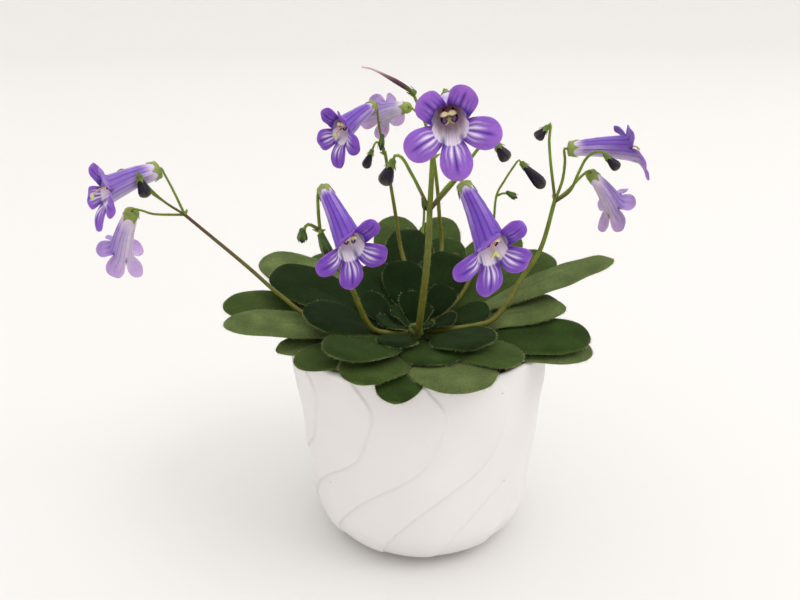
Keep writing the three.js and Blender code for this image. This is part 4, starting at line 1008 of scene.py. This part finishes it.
def make_crown(leaf_skin, hair):
    """Short stem that carries the rosette, with the small leaves of the heart."""
    angle = round_angles(CROWN_SIDES)
    rows = []
    for step in np.linspace(0, len(CROWN_RADII) - 1, CROWN_ROWS):
        height = lookup_smooth(CROWN_HEIGHTS, step)
        row = level_ring(angle, max(0.01, lookup_smooth(CROWN_RADII, step)), height)
        row[:, :2] *= 1 + 0.05 * ripple(row, 4, 88)[:, None]
        row += [ROSETTE_CENTRE[0], ROSETTE_CENTRE[1] - HEART_LEAN * np.clip((height - 71) / 1.3, 0, 6), 0]
        rows.append(row)
    points = np.concatenate(rows)
    shape = Shape()
    bark = mix(CROWN_BARK, CROWN_GREEN, smoothstep(68, 75, points[:, 2]))
    shape.add(points, turned_faces(CROWN_ROWS, CROWN_SIDES), bark)
    for number, leaf in enumerate(HEART_LEAVES):
        add_leaf(shape, number + 60, *leaf, in_heart=True)
    shape.build("crown", [leaf_skin, hair])


def frame_of(item):
    """The base of a flower or bud, its axis, its back and its side."""
    base = np.array(item["base"], float)
    axis = unit(np.array(item["tip"], float) - base)
    back = np.array(item.get("back", [0, 0, 1] if abs(axis[2]) < 0.9 else [0, 1, 0]), float)
    back = unit(back - axis * (back @ axis))
    return base, axis, back, np.cross(axis, back)


def length_of(item):
    return np.linalg.norm(np.array(item["tip"], float) - np.array(item["base"], float))


def tube_radius(flower, share):
    """Radius to the middle of the corolla's wall at a share of its tube's length."""
    wider = flower.get("foot", TUBE_FOOT_RADIUS) - TUBE_FOOT_RADIUS
    return (smooth_at_share(TUBE_RADII, share) + wider * (1 - share)) * flower.get("size", 1)


def petal_colours(pale, place):
    """Colours of the corolla's inner and outer face from the place on it.

    Each place is the lobe's number, u across the lobe from -1 to 1, the share along
    the tube, v along the lobe from 0 to 1, and the angle round the tube's axis.
    """
    lobe, u, share, v, angle = place.T
    upper = (lobe == 0) | (lobe == 4)
    side = np.abs(u)
    dorsal = 0.5 + 0.5 * np.cos(np.radians(angle))
    lines = np.maximum(line(u, 0, 0.12), 0.8 * line(side, 0.58, 0.1))
    sinus = smoothstep(0.66, 0.96, side)

    # Outside: violet with deeper lines right from the calyx, and a whitish belly.
    # A paler flower has a white foot, and its violet keeps to the back.
    rising = smoothstep(0.02, 0.12 + 0.7 * pale, share)
    violet = (0.3 + 0.7 * smoothstep(0.05 + 0.25 * pale, 0.5 + 0.35 * pale, dorsal)) * (1 - 0.7 * pale)
    lobe_back = paint(
        PETAL_LILAC,
        (PETAL_VIOLET, 0.2 + 0.6 * dorsal),
        (PETAL_DEEP, 0.5 * lines * (1 - v)),
        (PETAL_BLUSH, 0.75 * pale),
    )
    outer = paint(
        PETAL_BLUSH,
        (PETAL_VIOLET, rising * violet),
        (PETAL_DEEP, lines * rising * (0.4 + 0.45 * dorsal) * (1 - 0.4 * pale)),
        (PETAL_VIOLET, 0.35 * line(side, 0.3, 0.05) * rising),
        (PETAL_BLUSH, 0.75 * line(side, 0.84, 0.12) * fade(0.35, 0.85, share) * (1 - 0.7 * dorsal)),
        (PETAL_SPOT, 0.75 * sinus * smoothstep(0.9, 1, share) * fade(0, 0.16, v)),
        (lobe_back, 0.8 * smoothstep(0.02, 0.5, v)),
    )

    # Inside: a white throat with thin lines under a deep violet roof
    throat_line = np.maximum.reduce([line(side, 0.14, 0.04), line(side, 0.42, 0.05), line(side, 0.7, 0.05)])
    roof = np.where(upper, 0.65, 0.8 * sinus * smoothstep(0.82, 0.96, share))
    roof = roof * smoothstep(0.55, 0.9, share)
    throat = paint(PETAL_WHITE, (PETAL_VIOLET, 0.32 * throat_line), (PETAL_DEEP, roof))

    # Lobes: lilac to violet, the lower ones with white ridges beside a dark middle line
    depth = np.where(upper, 0.85, 0.62 + 0.25 * smoothstep(0.2, 0.8, np.maximum(v, side)))
    ridge = np.maximum(line(side, 0.2 + 0.06 * v, 0.09), 0.4 * line(side, 0.5 + 0.1 * v, 0.08))
    middle_stripe = line(u, 0, 0.06 + 0.03 * v) * fade(0.6, 0.92, v)
    side_stripe = line(side, 0.36 + 0.12 * v, 0.06) * fade(0.3, 0.75, v)
    outer_stripe = line(side, 0.66, 0.06) * (1 - v)
    stripes = np.maximum.reduce([middle_stripe, 0.8 * side_stripe, 0.7 * outer_stripe])
    face = paint(
        PETAL_LILAC,
        (PETAL_VIOLET, depth * (1 - 0.75 * pale)),
        (PETAL_WHITE, np.where(upper, 0.12, 0.95) * ridge * fade(0.2, 0.62, v)),
        (PETAL_VIOLET, 0.3 * line((side * 4.2) % 1, 0.5, 0.16) * fade(0.5, 0.95, v)),
        (PETAL_DEEP, 0.9 * stripes),
        (PETAL_SPOT, 0.95 * smoothstep(0.66, 0.92, side) * fade(0.06, 0.24, v)),
        (PETAL_DEEP, np.where(upper, 0.85, 0.0) * fade(0.0, 0.35, v)),
        (PETAL_LILAC, 0.35 * smoothstep(0.85, 1.0, np.maximum(side, v))),
    )
    return np.where((share >= 1)[:, None], face, throat), outer


def make_corolla(name, flower, seed, petal, pistil):
    """A narrow tube that flares into five rounded lobes, the lower lip before the upper."""
    base, axis, back, side = frame_of(flower)
    tube_length = length_of(flower)
    size = flower.get("size", 1)
    upper_first, upper_last = flower.get("upper", (0, 0))
    spreads = flower.get("spread", 0) + np.array([upper_first, 0, 0, 0, upper_last])
    tilt = math.radians(LIMB_TILT)
    facing = between(axis, back, tilt)
    facing_back = between(back, -axis, tilt)
    u_line = np.linspace(-1, 1, LOBE_COLUMNS + 1)

    def around(angle):
        return between(back, side, np.radians(angle))

    def slant(angle):
        return -MOUTH_SLANT * size * np.cos(np.radians(angle))

    # The tube, one row after the other, with the columns that the lobes go on from
    angles = np.concatenate([first + (last - first) * (u_line[:-1] + 1) / 2 for first, last, *_ in LOBES])
    lobe_of = np.repeat(np.arange(len(LOBES)), LOBE_COLUMNS)
    u_of = np.tile(u_line[:-1], len(LOBES))
    columns = len(angles)
    shares = np.linspace(0, 1, TUBE_ROWS) ** 0.9
    radii = tube_radius(flower, shares)
    centre = base + axis * (shares * tube_length)[:, None]
    centre += back * (np.sin(shares * math.pi) * TUBE_BOW)[:, None]
    groove = 1 - 0.05 * line(np.abs(u_of), 1, 0.2) + 0.012 * np.cos(u_of * 3 * math.pi)
    reach = radii[:, None] * groove[None] ** shares[:, None]
    forward = slant(angles)[None] * shares[:, None] ** 3
    rows = centre[:, None] + around(angles) * reach[..., None] + axis * forward[..., None]
    points = [rows.reshape(-1, 3), base[None]]
    place = [
        np.stack([np.tile(lobe_of, TUBE_ROWS), np.tile(u_of, TUBE_ROWS), np.repeat(shares, columns),
                  np.zeros(TUBE_ROWS * columns), np.tile(angles, TUBE_ROWS)], 1),
        np.zeros((1, 5)),
    ]
    foot = TUBE_ROWS * columns
    faces = [grid_faces(TUBE_ROWS, columns, closed=True), fan_faces(foot, np.append(np.arange(columns), 0))]
    thickness = [np.full(foot + 1, PETAL_THICKNESS)]
    total = foot + 1

    for number, (first, last, length, width, open_thirds) in enumerate(LOBES):
        ridged = length > 6
        middle = (first + last) / 2
        half = (last - first) / 2
        outward = between(facing_back, side, math.radians(middle))
        length = length * size
        half_width = width * size / 2
        v, u = np.meshgrid(np.linspace(0, 1, LOBE_ROWS + 1)[1:], u_line, indexing="ij")
        v, u = v.ravel(), u.ravel()

        # Each row is an arc, and the arcs go over from the rim's to the outline of the tip
        bend = np.radians(90 * u)
        on_spine = v * (LOBE_WIDEST + (1 - LOBE_WIDEST) * np.cos(bend))
        swell = np.sin(np.radians(90 * v))
        spread = swell * half_width * np.sin(bend)
        u_flat = ((1 - swell) * (radii[-1] * np.sin(np.radians(u * half))) + spread) / half_width
        flat = smoothstep(0, 0.5, v)

        steps = np.linspace(0, 1, 60)
        opening = np.interp(steps, [0, 0.17, 0.53, 0.86, 1],
                            [open_thirds[0] * 0.8, *open_thirds, open_thirds[2] + 8])
        opening = np.radians(opening + spreads[number])
        ahead = between(facing, outward, opening)
        inward = between(-outward, facing, opening)
        rim_middle = axis * slant(middle) + around(middle) * radii[-1]
        spine = centre[-1] + rim_middle + np.concatenate([
            np.zeros((1, 3)), np.cumsum((ahead[1:] + ahead[:-1]) / 2 * length / (len(steps) - 1), axis=0),
        ])
        waves = 0.22 * np.sin(u_flat * 4.3 + number * 1.7 + seed) * v
        hollow = -0.4 * u_flat**2 - 0.3 * np.maximum(v - 0.7, 0) / 0.3 * np.cos(bend)
        ridges = 0.28 * line(np.abs(u_flat), 0.3, 0.16) * fade(0.2, 0.75, v) * ridged
        lift = flat * (hollow + waves) + ridges * smoothstep(0, 0.15, v)
        rim_offset = around(middle + u * half) * radii[-1] - rim_middle
        rim_offset += axis * slant(middle + u * half)[:, None]
        points.append(
            columns_at(on_spine, steps, spine)
            + rim_offset * (1 - swell)[:, None]
            + np.cross(facing, outward) * spread[:, None]
            + columns_at(on_spine, steps, inward) * lift[:, None]
        )
        index = total + np.arange(len(v)).reshape(LOBE_ROWS, LOBE_COLUMNS + 1)
        rim_index = foot - columns + (number * LOBE_COLUMNS + np.arange(LOBE_COLUMNS + 1)) % columns
        lobe_index = np.concatenate([rim_index[None], index])
        faces.append(lobe_index.ravel()[grid_faces(LOBE_ROWS + 1, LOBE_COLUMNS + 1)])
        u_colour = u * (1 - flat) + u_flat * flat
        place.append(np.stack([np.full(len(v), number), u_colour, np.ones(len(v)), on_spine,
                               middle + u * half], 1))
        margin = np.maximum(np.abs(u) ** 4, v**6)
        thickness.append(PETAL_THICKNESS - (PETAL_THICKNESS - PETAL_EDGE_THICKNESS) * margin)
        total += len(v)

    points = np.concatenate(points)
    faces = np.concatenate(faces)
    points = points + point_normals(points, faces) * (0.05 * ripple(points, 2.6, seed))[:, None]
    solid, triangles, _, _ = thicken(points, faces, np.concatenate(thickness))
    shape = Shape()
    shape.add(solid, triangles, np.concatenate(petal_colours(flower["pale"], np.concatenate(place))))
    add_pistil(shape, flower)
    shape.build(name, [petal, pistil])


def add_pistil(shape, flower):
    """The style with its two-lobed stigma, and two joined anthers on bent filaments."""
    base, axis, back, side = frame_of(flower)
    tube_length = length_of(flower)
    size = flower.get("size", 1)

    def at(share, up, across=0.0):
        return base + axis * (share * tube_length) + (back * up + side * across) * size

    reach = flower.get("stigma", 0.86)
    style = [at(0.3, 0.4), at(0.6, 1.1), at(reach - 0.14, 1.3), at(reach - 0.02, 0.6)]
    add_tube(shape, style, [0.26, 0.26, 0.24, 0.28], STYLE, 7, 0.8)
    for way in (-1, 1):
        lobe = [at(reach - 0.03, 0.7), at(reach, 0.2, 0.4 * way), at(reach + 0.02, -0.3, 1.0 * way)]
        add_tube(shape, lobe, [0.28, 0.42, 0.3], STIGMA, 8, 0.4)
        filament = [at(0.55, 1, 1 * way), at(0.8, 1.2, 1.6 * way), at(0.91, 0.6, 1.7 * way),
                    at(0.94, 0.2, 1 * way), at(0.92, 0.8, 0.5 * way)]
        add_tube(shape, filament, [0.22, 0.26, 0.22], FILAMENT, 6, 0.5)
        anther = [at(0.9, 2.1, 0.1 * way), at(0.92, 2.3, 0.9 * way), at(0.9, 2.0, 1.7 * way)]
        add_tube(shape, anther, [0.35, 0.62, 0.35], ANTHER, 8, 0.4)


def add_calyx(shape, item, length, radius_at, tooth_share, green, random):
    """Five sepals, joined at the foot, that lie close round the flower or bud inside them.

    radius_at gives the radius of what is inside at a distance from the base, and
    tooth_share the part of the length in which the sepals are apart.
    """
    base, axis, back, side = frame_of(item)
    angle = round_angles(CALYX_COLUMNS)
    tooth = np.abs((angle / (2 * math.pi) * 5) % 1 - 0.5) * 2
    reach = length * (1 - tooth_share + tooth_share * tooth**3)
    around = between(back, side, angle)
    floor = -CALYX_FOOT_SETBACK
    foot = float(radius_at(0)) + SEPAL_FIT
    rows = []
    for share in np.linspace(0, 1, 5):
        rows.append((floor - 0.45 * (1 - share)) * axis + around * (0.2 + (foot - 0.2) * share**0.5))
    for share in np.linspace(0.1, 1, 10):
        distance = floor + share * (reach - floor)
        radius = radius_at(np.maximum(distance, 0)) + SEPAL_FIT + 0.3 * share**3 * tooth
        rows.append(axis * distance[:, None] + around * radius[:, None])
    points = base + np.concatenate(rows)
    shares = np.repeat(np.concatenate([np.zeros(5), np.linspace(0.1, 1, 10)]), CALYX_COLUMNS)
    faces = grid_faces(len(rows), CALYX_COLUMNS, closed=True)
    solid, triangles, _, _ = thicken(points, faces, SEPAL_THICKNESS - 0.12 * shares**2)
    colour = mix(green, SEPAL_TIP, 0.4 * shares * np.tile(tooth, len(rows)))
    shape.add(solid, triangles, np.concatenate([colour, colour]))
    roots, outward = scatter(solid[len(points):], faces[:, ::-1], CALYX_HAIRS, random)
    directions = outward + 0.4 * random.normal(size=(CALYX_HAIRS, 3)) + 0.3 * axis
    add_hairs(shape, roots, directions, random.uniform(0.3, 0.65, CALYX_HAIRS), LEAF_HAIR)


def make_bud(name, bud, seed, bud_skin, hair):
    """A dark club, its tip closed by the folded lobes."""
    base, axis, back, side = frame_of(bud)
    random = np.random.default_rng(seed)
    length = length_of(bud)
    steps = np.linspace(0, 1, BUD_ROWS) ** 0.95
    angle = round_angles(BUD_SIDES)
    fold = (angle * 5 / (2 * math.pi) + 0.5) % 1
    ridge = 1 + 0.05 * np.cos(5 * angle)[None] * smoothstep(0.2, 0.7, steps)[:, None]
    ridge -= 0.05 * line(fold, 0.5, 0.1)[None] * smoothstep(0.5, 0.9, steps)[:, None]
    reach = np.interp(steps, BUD_SHARES, BUD_RADII)[:, None] * bud["size"] * ridge
    rows = base + axis * (steps * (length + BUD_TIP_LENGTH))[:, None, None]
    rows = rows + between(back, side, angle) * reach[..., None]
    points = np.concatenate([rows.reshape(-1, 3), [base], [base + axis * (length + 0.35)]])
    faces = capped_faces(BUD_ROWS, BUD_SIDES)
    share = np.concatenate([np.repeat(steps, BUD_SIDES), [0, 1]])
    turn = np.concatenate([np.tile(angle, BUD_ROWS), [0, 0]])
    crease_shade = line((turn * 5 / (2 * math.pi) + 0.5) % 1, 0.5, 0.08)
    colour = paint(
        BUD_DARK,
        (BUD_TIP, smoothstep(0.6, 0.95, share) * 0.8),
        (BUD_RIDGE, 0.35 * (0.5 + 0.5 * np.cos(10 * turn)) * smoothstep(0.3, 0.8, share)),
        # Painted shade: darker still in the creases between the folded lobes
        (BUD_DARK * 0.6, 0.7 * crease_shade * smoothstep(0.45, 0.7, share)),
    )
    shape = Shape()
    shape.add(points, faces, colour)
    roots, outward = scatter(points, faces, BUD_HAIRS, random)
    directions = outward + 0.5 * random.normal(size=(BUD_HAIRS, 3))
    add_hairs(shape, roots, directions, random.uniform(0.25, 0.5, BUD_HAIRS), LEAF_HAIR * 0.6)
    shape.build(name, [bud_skin, hair])


def add_stalk(shape, knots, radii, shades, random, hairs_per_mm):
    tint = tint_along([STALK_COLOURS[shade] for shade in shades.split()])
    path, tangents, radius, length = add_tube(shape, knots, radii, tint)
    count = int(length * hairs_per_mm)
    place = random.uniform(0, len(path) - 1.01, count)
    index = place.astype(int)
    centre = path[index] + (path[index + 1] - path[index]) * (place - index)[:, None]
    across = random.normal(size=(count, 3))
    across = unit(across - tangents[index] * (across * tangents[index]).sum(1)[:, None])
    roots = centre + across * radius[index][:, None] * 0.95
    directions = across + 0.25 * random.normal(size=(count, 3))
    add_hairs(shape, roots, directions, random.uniform(0.3, 0.75, count), LEAF_HAIR)


def add_green_bud(shape, bud, random):
    """A small bud still closed in its ribbed calyx, with the dark tip just showing between the teeth."""
    base, tip = np.array(bud["base"], float), np.array(bud["tip"], float)
    radius = bud["radius"]
    length = length_of(bud)
    core = [base + (tip - base) * share for share in (0, 0.45, 0.8, 1)]
    add_tube(shape, core, [radius * 0.5, radius * 0.85, radius * 0.9, 0.25],
             lambda share: mix(SEPAL_DARK, BUD_DARK, smoothstep(0.5, 0.8, share)), 16, 0.35)

    def radius_at(distance):
        share = np.asarray(distance) / length
        return radius * np.interp(share, [0, 0.3, 0.6, 0.9, 1], [0.5, 0.78, 0.86, 0.6, 0.4])

    add_calyx(shape, bud, length * 0.95, radius_at, 0.5, SEPAL_DARK, random)


def add_flower_calyx(shape, name, random):
    """The calyx that a side stalk carries, round an open flower or a dark bud."""
    if name in FLOWERS:
        flower = FLOWERS[name]
        tube_length = length_of(flower)

        def radius_at(distance):
            return tube_radius(flower, np.asarray(distance) / tube_length) + PETAL_THICKNESS / 2

        add_calyx(shape, flower, CALYX_LENGTH, radius_at, 0.7, SEPAL_PALE, random)
    else:
        bud = BUDS[name]
        whole = length_of(bud) + BUD_TIP_LENGTH

        def radius_at(distance):
            return np.interp(np.asarray(distance) / whole, BUD_SHARES, BUD_RADII) * bud["size"]

        add_calyx(shape, bud, BUD_CALYX_LENGTH * bud["size"], radius_at, 0.5, SEPAL_GREEN, random)


def make_scape(name, scape, seed, stalk_skin, hair):
    random = np.random.default_rng(seed)
    shape = Shape()
    thin = max(scape["radii"][-1] * SIDE_STALK_SHARE, SIDE_STALK_LEAST_RADIUS)
    add_stalk(shape, scape["stem"], scape["radii"], scape["shades"], random, STEM_HAIRS_PER_MM)
    for ends, shades, *knots in scape["branches"]:
        if ends:
            base, axis, _, _ = frame_of(FLOWERS.get(ends) or BUDS[ends])
            knots += [base - axis * NECK, base - axis * STALK_END]
            add_flower_calyx(shape, ends, random)
        add_stalk(shape, knots, [thin, thin * 0.85], shades, random, SIDE_STALK_HAIRS_PER_MM)
    if scape["branches"]:
        # Two small pointed scales at the first fork
        fork = np.array(scape["branches"][0][2], float)
        for _ in range(2):
            way = unit(random.normal(size=3) * [1, 0.6, 0.3] + [0, 0, 0.8])
            knots = [fork - way * 0.3, fork + way * 1.1, fork + way * 2.2]
            add_tube(shape, knots, [0.4, 0.42, 0.12], STALK_COLOURS["green"], 7, 0.5)
    for bud in scape.get("green", []):
        add_green_bud(shape, bud, random)
    if "capsule" in scape:
        add_tube(shape, scape["capsule"], CAPSULE_RADII, tint_along(CAPSULE_COLOURS), 14, 0.6)
        base, tip = scape["capsule"][:2]
        add_calyx(shape, {"base": base, "tip": tip}, CAPSULE_CALYX_LENGTH,
                  lambda distance: CAPSULE_CALYX_RADIUS + 0 * distance, 0.7, SEPAL_GREEN, random)
    shape.build(name, [stalk_skin, hair])


def make_stage():
    """A round pale floor that bends up into a low wall."""
    angle = round_angles(96)
    profile = [(radius, 0.0) for radius in (0.01, 60, 150, 300, 600, 1200, STAGE_FLAT)]
    for bend in np.radians(np.linspace(7.5, 90, 12)):
        profile.append((STAGE_FLAT + STAGE_BEND * math.sin(bend), STAGE_BEND * (1 - math.cos(bend))))
    profile.append((STAGE_FLAT + STAGE_BEND, STAGE_BEND + STAGE_WALL))
    points = np.concatenate([level_ring(angle, radius, height) for radius, height in profile])
    shape = Shape()
    shape.add(points, grid_faces(len(profile), len(angle), closed=True), STAGE_COLOUR)
    finish = Finish("stage_paper", Roughness=0.9, Base_Color=(*STAGE_COLOUR, 1))
    finish.bump(120, 2, 0.0001, 0.3)
    floor = shape.place("stage", [finish.material])


def make_camera():
    down = math.radians(CAMERA_DOWN)
    roll = math.radians(CAMERA_ROLL)
    forward = Vector((0, math.cos(down), -math.sin(down)))
    level = Vector((1, 0, 0))
    upright = level.cross(forward)
    right = level * math.cos(roll) + upright * math.sin(roll)
    up = upright * math.cos(roll) - level * math.sin(roll)
    camera = bpy.data.objects.new("camera", bpy.data.cameras.new("camera"))
    bpy.context.scene.collection.objects.link(camera)
    turn = Matrix((right, up, -forward)).transposed().to_4x4()
    camera.matrix_world = Matrix.Translation(Vector(CAMERA_PLACE) * MM) @ turn
    camera.data.lens = CAMERA_LENS
    camera.data.sensor_width = 36
    camera.data.clip_start = 0.01
    camera.data.clip_end = 20
    bpy.context.scene.camera = camera


def make_light():
    """A pale studio, brighter from above, and one large soft lamp."""
    scene = bpy.context.scene
    scene.view_settings.view_transform = "Standard"
    scene.view_settings.look = "None"
    scene.world = bpy.data.worlds.new("studio")
    scene.world.use_nodes = True
    studio = Nodes(scene.world.node_tree)
    direction = studio.node("ShaderNodeTexCoord").outputs["Generated"]
    upward = studio.node("ShaderNodeSeparateXYZ", {"Vector": direction}).outputs["Z"]
    background = studio.tree.nodes["Background"]
    background.inputs["Color"].default_value = SKY_COLOUR
    studio.tree.links.new(studio.spread(upward, SKY_LOW, SKY_HIGH, 0.0, 1.0), background.inputs["Strength"])

    data = bpy.data.lights.new("key", "AREA")
    data.shape = "DISK"
    data.size = KEY_SIZE
    data.energy = KEY_POWER
    data.color = KEY_COLOUR
    light = bpy.data.objects.new("key", data)
    scene.collection.objects.link(light)
    light.location = KEY_PLACE
    light.rotation_mode = "QUATERNION"
    light.rotation_quaternion = (Vector(KEY_AIM) - Vector(KEY_PLACE)).to_track_quat("-Z", "Y")


def main():
    # Each skin: clouds over the colours, then its relief, then the shader's values
    leaf_skin = skin("leaf_skin", [(130, 3, 0.82, 1.2), (1900, 2, 0.8, 1.25)], (1500, 3, 0.00014, 0.8),
                     Roughness=0.72, Subsurface_Weight=0.04, Subsurface_Scale=0.0005, Sheen_Weight=0.045,
                     Sheen_Roughness=0.5, Sheen_Tint=(*srgb(150, 168, 110), 1), Specular_IOR_Level=0.06)
    hair = skin("plant_hairs", [(700, 1, 0.85, 1.1)], None, Roughness=0.6, Subsurface_Weight=0.2,
                Subsurface_Scale=0.0005, Specular_IOR_Level=0.15)
    stalk_skin = skin("stalk_skin", [(260, 3, 0.8, 1.2)], (1800, 2, 0.00008, 0.7), Roughness=0.5,
                      Subsurface_Weight=0.08, Subsurface_Scale=0.0006, Specular_IOR_Level=0.3)
    bud_skin = skin("bud_skin", [(700, 3, 0.7, 1.35)], (1600, 3, 0.00006, 0.7), Roughness=0.4,
                    Specular_IOR_Level=0.25, Coat_Weight=0.04, Coat_Roughness=0.25)
    petal = skin("petal_skin", [(420, 3, 0.93, 1.08), (2600, 2, 0.93, 1.08)], (2200, 2, 0.00005, 0.6),
                 Roughness=0.6, Subsurface_Weight=0.35, Subsurface_Scale=0.001, Sheen_Weight=0.05,
                 Specular_IOR_Level=0.15)
    make_pot()
    make_soil()
    make_crown(leaf_skin, hair)
    for number, (name, *leaf) in enumerate(LEAVES):
        shape = Shape()
        add_leaf(shape, number + 1, *leaf)
        shape.build(name, [leaf_skin, hair])
    for number, (name, scape) in enumerate(SCAPES.items()):
        make_scape(name, scape, number + 100, stalk_skin, hair)
    for number, (name, flower) in enumerate(FLOWERS.items()):
        make_corolla(name, flower, number + 200, petal, hair)
    for number, (name, bud) in enumerate(BUDS.items()):
        make_bud(name, bud, number + 250, bud_skin, hair)
    make_stage()
    make_camera()
    make_light()


main()
